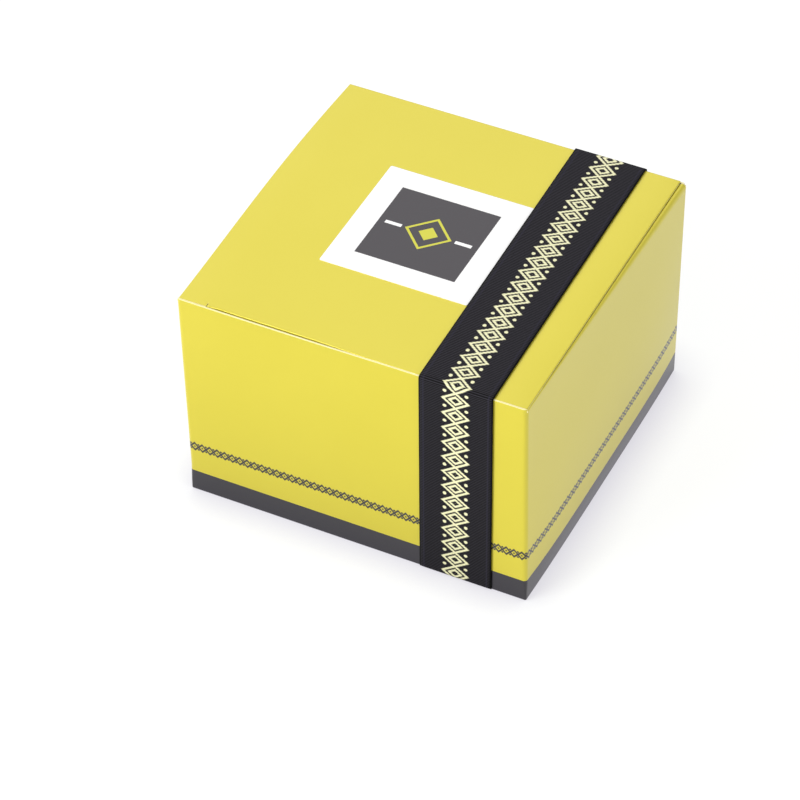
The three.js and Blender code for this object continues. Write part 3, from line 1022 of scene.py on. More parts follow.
    def _outline(self) -> list[tuple[Vector, Vector, float]]:
        """Draws the walls in plan, from the back wall's glued edge round to the glue flap's free edge.

        Returns:
            For each place its point, the way it faces and the running length.
        """
        low, high, fold, soft = self.walls.low, self.walls.high, self.fold, self.front_fold
        sharp = self.back_fold
        flap_y = high.y - self.board
        flap_end = low.x + self.board + self.glue_flap
        runs = (
            ((low.x + self.cut_back, high.y), (high.x - sharp, high.y)),
            ((high.x, high.y - sharp), (high.x, low.y + soft)),
            ((high.x - soft, low.y), (low.x + soft, low.y)),
            ((low.x, low.y + soft), (low.x, flap_y - fold)),
            ((low.x + fold, flap_y), (flap_end, flap_y)),
        )
        facings = (Y_AXIS, X_AXIS, -Y_AXIS, -X_AXIS, Y_AXIS)
        counts = (self.back_steps, 0, self.front_steps, 0, self.glue_steps)
        radii = (0.0, sharp, soft, soft, fold)
        places: list[tuple[Vector, Vector, float]] = []
        length = 0.0
        corner_steps = self.corner_steps
        for ends, outward, steps, radius in zip(runs, facings, counts, radii):
            start, end = (Vector((*spot, 0)) for spot in ends)
            if places:
                before = places[-1][1]
                centre = places[-1][0] - before * radius
                quarter = radius * math.pi / 2
                for step in range(1, corner_steps):
                    facing = before.slerp(outward, step / corner_steps)
                    places.append((centre + facing * radius, facing, length + quarter * step / corner_steps))
                length += quarter
            reach = (end - start).length
            stops = self._side_stops(start, end) if steps == 0 else evenly(0, reach, steps)
            stops = sorted([*stops, self.support, reach - self.support])
            direction = (end - start).normalized()
            for stop in stops:
                places.append((start + direction * stop, outward, length + stop))
            length += reach
        return places

    def _side_stops(self, start: Vector, end: Vector) -> list[float]:
        """Finds where lines cross a side wall: evenly, and close on both sides of the dust flap's ends."""
        hair = 0.02 * MM
        reach = (end - start).length
        stops = evenly(0, reach, self.side_steps)
        for edge in (self._dust_front(), self._dust_back(start.x)):
            stop = (edge - start.y) * math.copysign(1.0, end.y - start.y)
            stops += [near for near in (stop - hair, stop + hair) if 0 < near < reach]
        return stops

    def _wall_top(self, place: Vector) -> float:
        """The height of a wall's top edge at a place in plan."""
        front_inside = self.walls.low.y + self.board
        front_corner = self.walls.low.y + self.front_fold
        if place.y <= front_inside:
            return self.walls.high.z
        if place.y < front_corner:
            share = (place.y - front_inside) / (front_corner - front_inside)
            return self.walls.high.z + (self.dust.high.z - self.dust_fold_front - self.walls.high.z) * share
        if place.y < self._dust_back(place.x):
            return self.dust.high.z - self._dust_fold(place.y)
        if abs(place.x) > self.lid_right_back + self.support:
            return self.dust.high.z - self.board
        return self.lid.high.z - self.lid_fold

    def _dust_front(self) -> float:
        """Where a dust flap's fold begins behind the front wall."""
        return self.walls.low.y + self.board + self.dust_clear

    def _dust_back(self, side: float) -> float:
        """Where a dust flap's fold ends before the back wall's corner on one side."""
        corner = self.back_fold if side > 0 else self.board + self.fold
        return self.walls.high.y - corner

    def _dust_fold(self, y: float) -> float:
        """The radius of a dust flap's fold at a place along it: rounder towards the back."""
        change = self.dust_fold_back - self.dust_fold_front
        return self.dust_fold_front + change * rise(y, self.walls.low.y, self.walls.high.y)

    def _ease(self, place: Vector, height: float) -> Vector:
        """How far a wall's point has moved as the filled box eased out of square.

        Args:
            place: The place in plan.
            height: The height above the table.

        Returns:
            The move: the front's bulge, the right wall's bulge and lean, and the left corner's lean.
        """
        low, high = self.walls.low, self.walls.high
        share = max(0.0, height / high.z)
        near, far = self.ease_near, self.ease_far
        by_right = rise(place.x, high.x - far, high.x - near)
        by_left = rise(place.x, low.x + far, low.x + near)
        by_front = rise(place.y, low.y + far, low.y + near)
        lean = self.lean_front + (self.lean_back - self.lean_front) * (place.y - low.y) / self.walls.size.y
        right = lean * share + self._side_bow(place, height)
        lid_side = max(0.0, low.x - self._lid_left(place.y))
        left = (self.lean_left * by_front + lid_side) * share
        front = self._bow(place.x) * share * share * by_front
        return X_AXIS * (right * by_right - left * by_left) - Y_AXIS * front

    def _sharpen(self, place: Vector, outward: Vector, height: float) -> Vector:
        """How far a point of a front corner's fold moves out, where the fold is sharper at the foot."""
        hair = self.board / 10
        in_corner = place.y < self.walls.low.y + self.front_fold + hair
        if not in_corner or abs(place.x) < self.walls.high.x - self.front_fold - hair:
            return Vector()
        corner = X_AXIS * math.copysign(1.0, place.x) - Y_AXIS
        sharper = self.front_fold - self.foot_corner
        return (corner - outward) * sharper * rise(height, *self.foot_corner_reach)

    def _side_bow(self, place: Vector, height: float) -> float:
        """How far the right wall bulges out at a place along it and a height.

        Args:
            place: The place in plan.
            height: The height above the table.

        Returns:
            The bulge, which is greatest low in the wall and gone at the corners and at the top.
        """
        along = abs(2 * (place.y - self.walls.low.y) / self.walls.size.y - 1)
        share = height / self.walls.high.z
        level = self.side_bow * (1 - min(1.0, along) ** self.side_bow_flatness)
        return level * rise(share, *self.side_bow_foot) * rise(share, *self.side_bow_top)

    def _bow(self, x: float) -> float:
        """How far the top of the front wall bulges out at a place along it."""
        reach = self.bow_reach if x > self.bow_middle else self.bow_left
        share = min(1.0, abs(x - self.bow_middle) / reach)
        return self.bow * (1 - share * share)

    def _lid_bow(self, x: float) -> float:
        """How far the lid's front fold follows the bulge: it gapes on the left and is held by the ribbon."""
        left = rise(x, *(reach - self.slit_x for reach in self.gape_left))
        right = rise(x, *(self.ribbon.low.x - reach for reach in self.gape_right))
        gape = left * right
        return self._bow(x) + self.gap_shut * (1 - gape) - self.gap_open * gape

    def _walls(self) -> None:
        """Builds the four walls and the glue flap as one sheet, with its folds along the foot."""
        foot = self.walls.low.z
        outline = self._outline()
        flap_start = outline[-1][2] - (self.board + self.glue_flap - self.fold)
        lines = []
        for place, outward, along in outline:
            top = self._wall_top(place)
            bottom = foot - self.foot_sag + self.foot_fold
            flap = max(0.0, along - flap_start)
            line = []
            if along > flap_start - self.fold:
                bottom = foot + self.glue_taper + flap * self.glue_taper / self.glue_flap
                top = self.dust.high.z - self.glue_taper - flap * self.glue_taper / self.glue_flap
                fold_points = evenly(bottom - self.glue_foot, bottom, self.foot_steps)[:-1]
                line += [self._wall_point(place, outward, z, along) for z in fold_points]
            else:
                for step in range(self.foot_steps):
                    turn = math.pi / 2 * step / self.foot_steps
                    facing = outward * math.sin(turn) - Z_AXIS * math.cos(turn)
                    centre = place - outward * self.foot_fold + Z_AXIS * bottom
                    spot = centre + facing * self.foot_fold
                    spot += self._ease(place, bottom) + self._sharpen(place, outward, bottom)
                    line.append(BoardPoint(spot, facing, (along, spot.z - foot)))
            for share in sorted([*evenly(0, 1, self.wall_rows), self.support / (top - bottom)]):
                height = bottom + (top - bottom) * share
                shift = self._ease(place, height) + self._sharpen(place, outward, height)
                line.append(self._wall_point(place + shift, outward, height, along))
            lines.append(line)
        piece = BoardSheet(lines, self.board).build("carton_walls", WALL_BOARD)
        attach(piece, "carton")
        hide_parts("carton_sleeve")
        report(piece, "carton")

    def _wall_point(self, place: Vector, outward: Vector, height: float, along: float) -> BoardPoint:
        """A point of a wall at a height above the table."""
        return BoardPoint(place + Z_AXIS * height, outward, (along, height - self.walls.low.z))

    def _lid(self) -> None:
        """Builds the lid with its crease to the back wall, its rolled sides and the end of its slit."""
        fold = self.lid_fold
        back, top = self.walls.high.y, self.lid.high.z
        front = self.lid.low.y
        depth = back - fold - front
        crease = fold * math.pi / 2
        profile = Profile().fold(Vector((0, back - fold, top - fold)), Y_AXIS, Z_AXIS, fold)
        rows = evenly(0, depth - self.tick, self.lid_rows)
        profile.run(-Y_AXIS, [self.support, *rows[1:], depth - self.tuck_fold, depth])
        slit, beside = self.slit_x, self.slit_x + self.tick_width
        turns = evenly(0, math.pi / 2, self.roll_steps)
        middle = evenly(-slit, slit, self.lid_columns)
        lines = []
        for bend in profile.bends:
            share = max(0.0, bend.along - crease) / depth
            left = self._lid_left(bend.place.y) + self.edge_roll
            right = self._lid_edge(bend.place.y) - self.edge_roll
            columns = (left, -beside, *middle, beside, right)
            points = self._bowed(bend, columns, rise(share, self.bow_from, 1.0))
            left_roll = self._roll(points[0], -X_AXIS, turns)
            right_roll = self._roll(points[-1], X_AXIS, turns)
            lines.append([*reversed(left_roll), *points[1:-1], *right_roll])
        last = len(lines) - 2
        tick = len(turns)
        fold_from, fold_to = tick + 1, len(lines[0]) - len(turns) - 2

        def is_cut(line: int, column: int) -> bool:
            """Whether a cell lies in the slit's end, or where the tuck flap's crease takes its place."""
            in_tick = column == tick and line >= last - 1
            return in_tick or (line == last and fold_from <= column < fold_to)

        piece = BoardSheet(lines, self.board, is_cut).build("lid", LID_BOARD)
        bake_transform(piece)
        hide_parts("lid_panel")
        report(piece, "carton and lid")

    def _bowed(self, bend: Bend, columns: Iterable[float], follow: float) -> list[BoardPoint]:
        """Draws a line across the lid or its flap that follows the front's bulge.

        Args:
            bend: The place of the line on the profile.
            columns: Where its points lie along the crease.
            follow: How far it follows the bulge, from 0 to 1.

        Returns:
            The points of the line.
        """
        line = []
        for x in columns:
            place = bend.place + X_AXIS * x - Y_AXIS * self._lid_bow(x) * follow
            line.append(BoardPoint(place, bend.outward, (x, bend.along)))
        return line

    def _roll(self, point: BoardPoint, side: Vector, turns: Sequence[float]) -> list[BoardPoint]:
        """Rolls a sheet's edge over.

        Args:
            point: The last point of the flat sheet.
            side: The unit direction to the edge.
            turns: The turns of the roll, from none.

        Returns:
            The points of the roll, the flat one first.
        """
        centre = point.place - point.outward * self.edge_roll
        flat_inside = point.place - point.outward * self.board
        rolled = []
        for turn in turns:
            outward = point.outward * math.cos(turn) + side * math.sin(turn)
            inside = flat_inside + side * self.edge_roll * math.sin(turn)
            rolled.append(BoardPoint(centre + outward * self.edge_roll, outward, point.flat, inside))
        return rolled

    def _tuck_flap(self) -> None:
        """Builds the tuck flap with its crease to the lid, its slits and its rounded foot."""
        fold = self.tuck_fold
        lean = Vector((0, -math.cos(self.tuck_lean), -math.sin(self.tuck_lean)))
        down = Vector((0, math.sin(self.tuck_lean), -math.cos(self.tuck_lean)))
        centre = Vector((0, self.lid.low.y + fold, self.lid.high.z - fold))
        profile = Profile().fold(centre, Z_AXIS, lean, fold)
        crease = profile.bends[-1].along
        round_start = self.tuck_depth - self.tuck_corner
        rows = evenly(self.slit_depth, round_start, self.tuck_rows)
        corners = corner_stops(round_start, self.tuck_corner, self.corner_steps)
        profile.run(down, [self.support, *rows, *corners])
        lines = []
        for bend in profile.bends:
            half = self.tuck.high.x - corner_cut(bend.along - crease - round_start, self.tuck_corner)
            inner = min(self.slit_x, half - self.tuck_edge)
            columns = (-half, *evenly(-inner, inner, self.lid_columns), half)
            follow = 1 - self.tuck_straightens * max(0.0, bend.along - crease) / self.tuck_depth
            lines.append(self._bowed(bend, columns, follow))
        slit_end = next(i for i, b in enumerate(profile.bends) if b.along >= crease + self.slit_depth)
        last = len(lines[0]) - 2

        def is_cut(line: int, column: int) -> bool:
            """Whether a cell lies in one of the two slits."""
            return column in (0, last) and line < slit_end

        piece = BoardSheet(lines, self.board, is_cut).build("tuck_flap_sheet", LID_BOARD)
        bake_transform(piece)
        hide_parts("tuck_flap")
        report(piece, "lid and tuck_flap")

    def _dust_flap(self, side: int, name: str) -> None:
        """Builds a dust flap with its crease to the side wall, its tapered back edge and its round corners.

        Args:
            side: 1 for the right flap, -1 for the left.
            name: The node that the flap stands for.
        """
        outward = X_AXIS * side
        top, fold = self.dust.high.z, self.fold
        front_root = self._dust_front() - self.dust.low.y
        back_root = self._dust_back(side) - self.dust.high.y
        centre = outward * (self.walls.high.x - fold) + Z_AXIS * (top - fold)
        profile = Profile().fold(centre, outward, Z_AXIS, fold)
        crease = profile.bends[-1].along
        length = self.walls.high.x - fold - self.dust.low.x
        round_start = length - self.dust_corner
        rows = evenly(0, round_start, self.dust_rows)
        corners = corner_stops(round_start, self.dust_corner, self.corner_steps)
        profile.run(-outward, [self.support, *rows[1:], *corners])

        def across(along: float) -> list[float]:
            """Where the points of a line lie between the flap's front edge and its slanting back edge."""
            reach = max(0.0, along - crease)
            corner = corner_cut(reach - round_start, self.dust_corner)
            root = rise(reach, self.dust_root, 0)
            front = self.dust.low.y + front_root * root + corner
            taper = reach * math.tan(self.dust_taper) + corner * self.dust_back_round
            return evenly(front, self.dust.high.y + back_root * root - taper, self.dust_columns)

        flat_lines = profile.lines(Y_AXIS, across)
        lines = [self._spring(line, bend) for line, bend in zip(flat_lines, profile.bends)]
        piece = BoardSheet(lines, self.board).build(f"{name}_sheet", LID_BOARD)
        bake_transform(piece)
        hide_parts(name)
        report(piece, f"carton and {name}")

    def _spring(self, line: Sequence[BoardPoint], bend: Bend) -> list[BoardPoint]:
        """Rounds and lifts a line of a dust flap's fold where the lid leaves room beside it.

        Args:
            line: The points of the line.
            bend: The place of the line on the fold's profile.

        Returns:
            The points as they stand.
        """
        turn = math.atan2(bend.outward.z, abs(bend.outward.x))
        to_centre = bend.outward - Z_AXIS - X_AXIS * math.copysign(1.0, bend.place.x)
        crease = self.fold * math.pi / 2
        in_fold = rise(bend.along, crease + self.spring_reach, crease)
        wall = X_AXIS * math.copysign(self.walls.high.x, bend.place.x)
        sprung = []
        for point in line:
            ease = self._ease(wall + Y_AXIS * point.place.y, self.dust.high.z) * in_fold
            edge = self._lid_edge(point.place.y) if point.place.x > 0 else -self._lid_left(point.place.y)
            room = max(0.0, self.walls.high.x - edge)
            lift = Z_AXIS * min(self.spring, room * self.spring_share) * math.sin(2 * turn)
            rounder = to_centre * (self._dust_fold(point.place.y) - self.fold) * in_fold
            sprung.append(BoardPoint(point.place + lift + rounder + ease, point.outward, point.flat))
        return sprung

    def _lid_left(self, y: float) -> float:
        """Where the lid's left edge lies at a place along it: it stands out most towards the back."""
        share = min(1.0, max(0.0, (y - self.lid.low.y) / self.lid.size.y))
        straight = self.lid_left_front + (self.lid_left_back - self.lid_left_front) * share
        return straight - self.lid_left_bulge * math.sin(math.pi * share**self.lid_left_skew)

    def _lid_edge(self, y: float) -> float:
        """Where the lid's right edge lies at a place along it."""
        share = (self.walls.high.y - self.fold - y) / (self.walls.high.y - self.fold - self.lid.low.y)
        share = min(1.0, max(0.0, share))
        return self.lid_right_back + (self.lid_right_front - self.lid_right_back) * share

    def _base_flap(self, name: str) -> None:
        """Builds a base flap from its solid: dark print below, bare board above, cut edges.

        Args:
            name: The node that the flap stands for.
        """
        build = bmesh.new()
        build.from_mesh(bpy.data.objects[name].data)
        same_place, flat = 0.001 * MM, math.radians(1)
        bmesh.ops.remove_doubles(build, verts=build.verts, dist=same_place)
        bmesh.ops.dissolve_limit(build, angle_limit=flat, verts=build.verts, edges=build.edges)
        build.normal_update()
        steep = 0.5
        for face in build.faces:
            face.smooth = False
            if face.normal.z < -steep:
                face.material_index = BoardFace.PRINT
            elif face.normal.z > steep:
                face.material_index = BoardFace.INSIDE
            else:
                face.material_index = BoardFace.EDGE
        bmesh.ops.triangulate(build, faces=build.faces)
        materials = [FOOT_BOARD.material(), INSIDE_BOARD.material(), CUT_EDGE.material()]
        piece = finish_mesh(f"{name}_sheet", build, materials)
        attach(piece, "carton")
        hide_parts(name)
        report(piece, "carton")


# Label, ribbon and contents


@dataclass
class Label:
    """The square paper label on the lid, with softly rounded corners.

    Attributes:
        corner: The radius of its corners.
        corner_steps: How many steps round a corner.
    """

    corner: float = 0.5 * MM
    corner_steps: int = 4

    def __post_init__(self) -> None:
        """Reads the label's place."""
        self.extent = Extent.of("label")

    def build(self) -> None:
        """Builds the label as a thin sheet and prints it."""
        low, high = self.extent.low, self.extent.high
        centre, half = self.extent.middle, self.extent.size.x / 2 - self.corner
        build = bmesh.new()
        ring = []
        for step in range(4 * (self.corner_steps + 1)):
            quarter, part = divmod(step, self.corner_steps + 1)
            turn = (quarter + part / self.corner_steps) * math.pi / 2
            side_x, side_y = corner_sides(quarter)
            x = centre.x + side_x * half + self.corner * math.cos(turn)
            y = centre.y + side_y * half + self.corner * math.sin(turn)
            ring.append(build.verts.new((x, y, low.z)))
        foot = build.faces.new(ring)
        drawn = bmesh.ops.extrude_face_region(build, geom=[foot])["geom"]
        lifted = [v for v in drawn if isinstance(v, BMVert)]
        bmesh.ops.translate(build, verts=lifted, vec=(0, 0, high.z - low.z))
        bmesh.ops.recalc_face_normals(build, faces=build.faces)
        paper = PrintedLabel(centre=(centre.x, centre.y, centre.z))
        piece = finish_mesh("paper_label", build, [paper.material()])
        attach(piece, "lid")
        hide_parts("label")
        report(piece, "lid")


class NodeGroup:
    """A geometry tree with named inputs and a material, put on a piece as a modifier."""

    def __init__(self, name: str, lengths: Sequence[str], counts: Sequence[str] = ()) -> None:
        """Starts the tree.

        Args:
            name: The tree's name.
            lengths: The names of the inputs that are plain numbers.
            counts: The names of the inputs that are whole numbers.
        """
        inputs = dict.fromkeys(lengths, "NodeSocketFloat") | dict.fromkeys(counts, "NodeSocketInt")
        inputs["Material"] = "NodeSocketMaterial"
        self.tree = bpy.data.node_groups.new(name, "GeometryNodeTree")
        face = self.tree.interface
        face.new_socket("Geometry", in_out="INPUT", socket_type="NodeSocketGeometry")
        face.new_socket("Geometry", in_out="OUTPUT", socket_type="NodeSocketGeometry")
        self.keys = {
            key: face.new_socket(key, in_out="INPUT", socket_type=kind).identifier
            for key, kind in inputs.items()
        }
        self.start = add_node(self.tree, "NodeGroupInput")

    def end(self, geometry: Node) -> None:
        """Closes the tree: real geometry with its material.

        Args:
            geometry: The node with the finished geometry.
        """
        real = add_node(self.tree, "GeometryNodeRealizeInstances", {"Geometry": geometry})
        dressed = add_node(
            self.tree,
            "GeometryNodeSetMaterial",
            {"Geometry": real, "Material": self.start.outputs["Material"]},
        )
        add_node(self.tree, "NodeGroupOutput", {"Geometry": dressed})

    def put_on(self, piece: Object, **values: Any) -> None:
        """Adds the tree to a piece with values for its inputs.

        Args:
            piece: The piece that takes the modifier.
            **values: The inputs, with spaces in their names written as underscores.
        """
        modifier = piece.modifiers.new(self.tree.name, "NODES")
        modifier.node_group = self.tree
        for key, value in values.items():
            modifier[self.keys[key.replace("_", " ")]] = value


class RibbonRun(Enum):
    """The two stretches of the ribbon, which part at the lid's front edge and meet under the base."""

    FRONT = "ribbon_front_run"
    BACK = "ribbon_back_and_top_run"


@dataclass
class Ribbon:
    """The woven ribbon round the box: over the lid, down the back, under the base and up the front.

    Attributes:
        bend: The radius of a bend at the middle of the ribbon's thickness.
        rib_height: How far a rib stands above the grooves beside it.
        selvedge: The width of the smooth edge.
        rows_per_rib: How many rows of faces a rib has.
        columns: How many points lie across the ribbon.
        bend_steps: How many stretches a bend has.
        parting: How far before the run on the lid the two runs part.
        seam: Where under the base they meet.
        crease: A length near the lid's back edge. It is not used.
        askew_front: How far to the side the ribbon lies where it turns onto the lid at the front.
        askew_back: How far to the side it lies where it leaves the lid at the back.
    """

    bend: float = 1.05 * MM
    rib_height: float = 0.11 * MM
    selvedge: float = 1.5 * MM
    rows_per_rib: int = 4
    columns: int = 19
    bend_steps: int = 12
    parting: float = 0.15 * MM
    seam: float = 10 * MM
    crease: float = 1.6 * MM
    askew_front: float = 0.42 * MM
    askew_back: float = -1.25 * MM

    def __post_init__(self) -> None:
        """Reads the ribbon's place and size."""
        self.top = Extent.of("ribbon_top")
        self.band = Extent.of("ribbon_band")
        self.thickness = self.top.size.z
        self.width = self.top.size.x

    def build(self) -> None:
        """Builds both runs of the ribbon."""
        half = self.thickness / 2
        front, back = self.band.low.y + half, self.band.high.y - half
        foot, head = self.band.low.z + half, self.band.high.z - half
        parting = self.top.low.y - self.parting
        back_path = [(parting, head), (back, head), (back, foot), (self.seam, foot)]
        front_path = [(self.seam, foot), (front, foot), (front, head), (parting, head)]
        routes = {RibbonRun.BACK: self._route(back_path), RibbonRun.FRONT: self._route(front_path)}
        lengths = {run: sum((b - a).length for a, b in zip(r, r[1:])) for run, r in routes.items()}
        loop = sum(lengths.values())
        chain = replace(RIBBON_WEAVE.chain, period=loop / round(loop / RIBBON_WEAVE.chain.period))
        weave = replace(RIBBON_WEAVE, chain=chain, rib_pitch=loop / round(loop / RIBBON_WEAVE.rib_pitch))
        tree = self._weave()
        offset = 0.0
        for run, route in routes.items():
            self._run(tree, weave, run, route, lengths[run], offset)
            offset += lengths[run]

    def _route(self, corners: Sequence[tuple[float, float]]) -> list[Vector]:
        """Draws the middle of a run in the YZ plane, with its corners rounded.

        Args:
            corners: The run's corners as y and z.

        Returns:
            The points of the route.
        """
        spots = [Vector((self.top.middle.x, y, z)) for y, z in corners]
        route = [spots[0]]
        for before, corner, after in zip(spots, spots[1:], spots[2:]):
            back = (before - corner).normalized()
            on = (after - corner).normalized()
            centre = corner + (back + on) * self.bend
            for step in range(self.bend_steps + 1):
                route.append(centre + (-on).slerp(-back, step / self.bend_steps) * self.bend)
        route.append(spots[-1])
        return route

    def _run(
        self, tree: NodeGroup, weave: Grosgrain, run: RibbonRun, route: Sequence[Vector], length: float,
        offset: float,
    ) -> None:
        """Args:
            tree: The tree that weaves the ribbon along its route.
            weave: The ribbon's finish.
            run: Which run it is.
            route: The middle of the run.
            length: The run's length.
            offset: The length of ribbon before the run.
        """
        mesh = bpy.data.meshes.new("route")
        mesh.from_pydata(route, [(i, i + 1) for i in range(len(route) - 1)], [])
        path = bpy.data.objects.new("route", mesh)
        bpy.context.scene.collection.objects.link(path)
        tree.put_on(
            path, Width=self.width, Rib_Pitch=weave.rib_pitch, Rib_Height=self.rib_height,
            Selvedge=self.selvedge, Offset=offset, Rows=round(length / weave.rib_pitch * self.rows_per_rib),
            Columns=self.columns, Material=weave.material(),
        )
        wall = path.modifiers.new("thickness", "SOLIDIFY")
        wall.thickness = self.thickness - self.rib_height
        wall.offset = 0.0
        piece = settle(path, run.value)
        for face in piece.data.polygons:
            face.use_smooth = True
        for vertex in piece.data.vertices:
            vertex.co.x += self._askew(vertex.co)
        if run is RibbonRun.BACK:
            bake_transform(piece)
            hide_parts("ribbon_top")
        else:
            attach(piece, "ribbon_band")
            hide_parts("ribbon_band")
        report(piece, "ribbon_band")

    def _askew(self, place: Vector) -> float:
        """How far to the side the ribbon lies at a place on its loop: not at all under the base."""
        back = (place.y - self.band.low.y) / self.band.size.y
        up = (place.z - self.band.low.z) / self.band.size.z
        return up * (self.askew_front + (self.askew_back - self.askew_front) * back)

    def _weave(self) -> NodeGroup:
        """Builds the tree that draws the ribbon along a route and raises its cross ribs."""
        group = NodeGroup(
            "woven_ribbon",
            lengths=("Width", "Rib Pitch", "Rib Height", "Selvedge", "Offset"),
            counts=("Rows", "Columns"),
        )
        tree, start = group.tree, group.start.outputs
        route = add_node(tree, "GeometryNodeMeshToCurve", {"Mesh": start["Geometry"]})
        rows = add_node(tree, "GeometryNodeResampleCurve", {"Curve": route, "Count": start["Rows"]})
        spline = add_node(tree, "GeometryNodeSplineParameter")
        lengths = add_node(tree, "GeometryNodeCaptureAttribute")
        lengths.capture_items.new("FLOAT", "Along")
        tree.links.new(rows.outputs[0], lengths.inputs[0])
        tree.links.new(spline.outputs["Length"], lengths.inputs[1])
        half = add_node(tree, "Math", {0: start["Width"], 1: 0.5}, operation="MULTIPLY")
        minus = add_node(tree, "Math", {0: half, 1: -1.0}, operation="MULTIPLY")
        left = add_node(tree, "CombineXYZ", {0: minus})
        right = add_node(tree, "CombineXYZ", {0: half})
        line = add_node(tree, "GeometryNodeCurvePrimitiveLine", {"Start": left, "End": right})
        columns = add_node(tree, "GeometryNodeResampleCurve", {"Curve": line, "Count": start["Columns"]})
        place = add_node(tree, "GeometryNodeInputPosition")
        split = add_node(tree, "SeparateXYZ", {0: place})
        widths = add_node(tree, "GeometryNodeCaptureAttribute")
        widths.capture_items.new("FLOAT", "Across")
        tree.links.new(columns.outputs[0], widths.inputs[0])
        tree.links.new(split.outputs["X"], widths.inputs[1])
        strip = add_node(
            tree,
            "GeometryNodeCurveToMesh",
            {"Curve": lengths.outputs[0], "Profile Curve": widths.outputs[0]},
        )
        run = add_node(tree, "Math", {0: lengths.outputs[1], 1: start["Offset"]}, operation="ADD")
        ribs = add_node(tree, "Math", {0: run, 1: start["Rib Pitch"]}, operation="DIVIDE")
        turn = add_node(tree, "Math", {0: ribs, 1: 2 * math.pi}, operation="MULTIPLY")
        wave = add_node(tree, "Math", {0: turn}, operation="COSINE")
        reach = add_node(tree, "Math", {0: widths.outputs[1]}, operation="ABSOLUTE")
        inset = add_node(tree, "Math", {0: half, 1: reach}, operation="SUBTRACT")
        fade = add_node(
            tree,
            "MapRange",
            {"Value": inset, "From Min": 0.0, "From Max": start["Selvedge"]},
            interpolation_type="SMOOTHSTEP",
        )
        amount = add_node(tree, "Math", {0: wave, 1: fade}, operation="MULTIPLY")
        halved = add_node(tree, "Math", {0: start["Rib Height"], 1: 0.5}, operation="MULTIPLY")
        lift = add_node(tree, "Math", {0: amount, 1: halved}, operation="MULTIPLY")
        facing = add_node(tree, "GeometryNodeInputNormal")
        offset = add_node(tree, "VectorMath", {0: facing, "Scale": lift.outputs[0]}, operation="SCALE")
        ribbed = add_node(tree, "GeometryNodeSetPosition", {"Geometry": strip, "Offset": offset.outputs[0]})
        flat = add_node(tree, "CombineXYZ", {0: widths.outputs[1], 1: run})
        stored = add_node(
            tree,
            "GeometryNodeStoreNamedAttribute",
            {"Geometry": ribbed, "Name": UV_NAME, "Value": flat},
            data_type="FLOAT2",
            domain="CORNER",
        )
        group.end(stored)
        return group


@dataclass(frozen=True)
class Wrap:
    """A kind of wrapped chocolate.

    Attributes:
        kind: The start of its nodes' names.
        finish: Its foil.
        slot: Its material slot in the record. It is not used.
        draft: How far its sides lean in.
        crown: The round of its top edges.
        crumple: How deep the foil's creases are.
    """

    kind: str
    finish: Foil
    slot: str
    draft: float
    crown: float
    crumple: float


PEACH_FOIL = Foil("peach_satin_foil", "#ecc79d")
PALE_GOLD_FOIL = Foil("pale_gold_satin_foil", "#e9dfb6")
YELLOW_FOIL = Foil("yellow_bright_foil", "#efdd2e", roughness=0.22, metallic=0.95, wrinkle_depth=0.2 * MM)
BRONZE_FOIL = Foil("bronze_satin_foil", "#8f8070")
SQUARE_FORM = {"draft": 0.8 * MM, "crown": 0.8 * MM}
BRONZE_FORM = {"draft": 2.2 * MM, "crown": 0.8 * MM, "crumple": 0.16 * MM}
WRAPS = (
    Wrap("peach_square", PEACH_FOIL, "peach_foil", crumple=0.22 * MM, **SQUARE_FORM),
    Wrap("pale_gold_square", PALE_GOLD_FOIL, "pale_gold_foil", crumple=0.2 * MM, **SQUARE_FORM),
    Wrap("yellow_bar", YELLOW_FOIL, "yellow_foil", draft=0.8 * MM, crown=6 * MM, crumple=0.5 * MM),
    Wrap("bronze_bar", BRONZE_FOIL, "bronze_foil", **BRONZE_FORM),
    Wrap("bronze_cube", BRONZE_FOIL, "bronze_foil", **BRONZE_FORM),
)


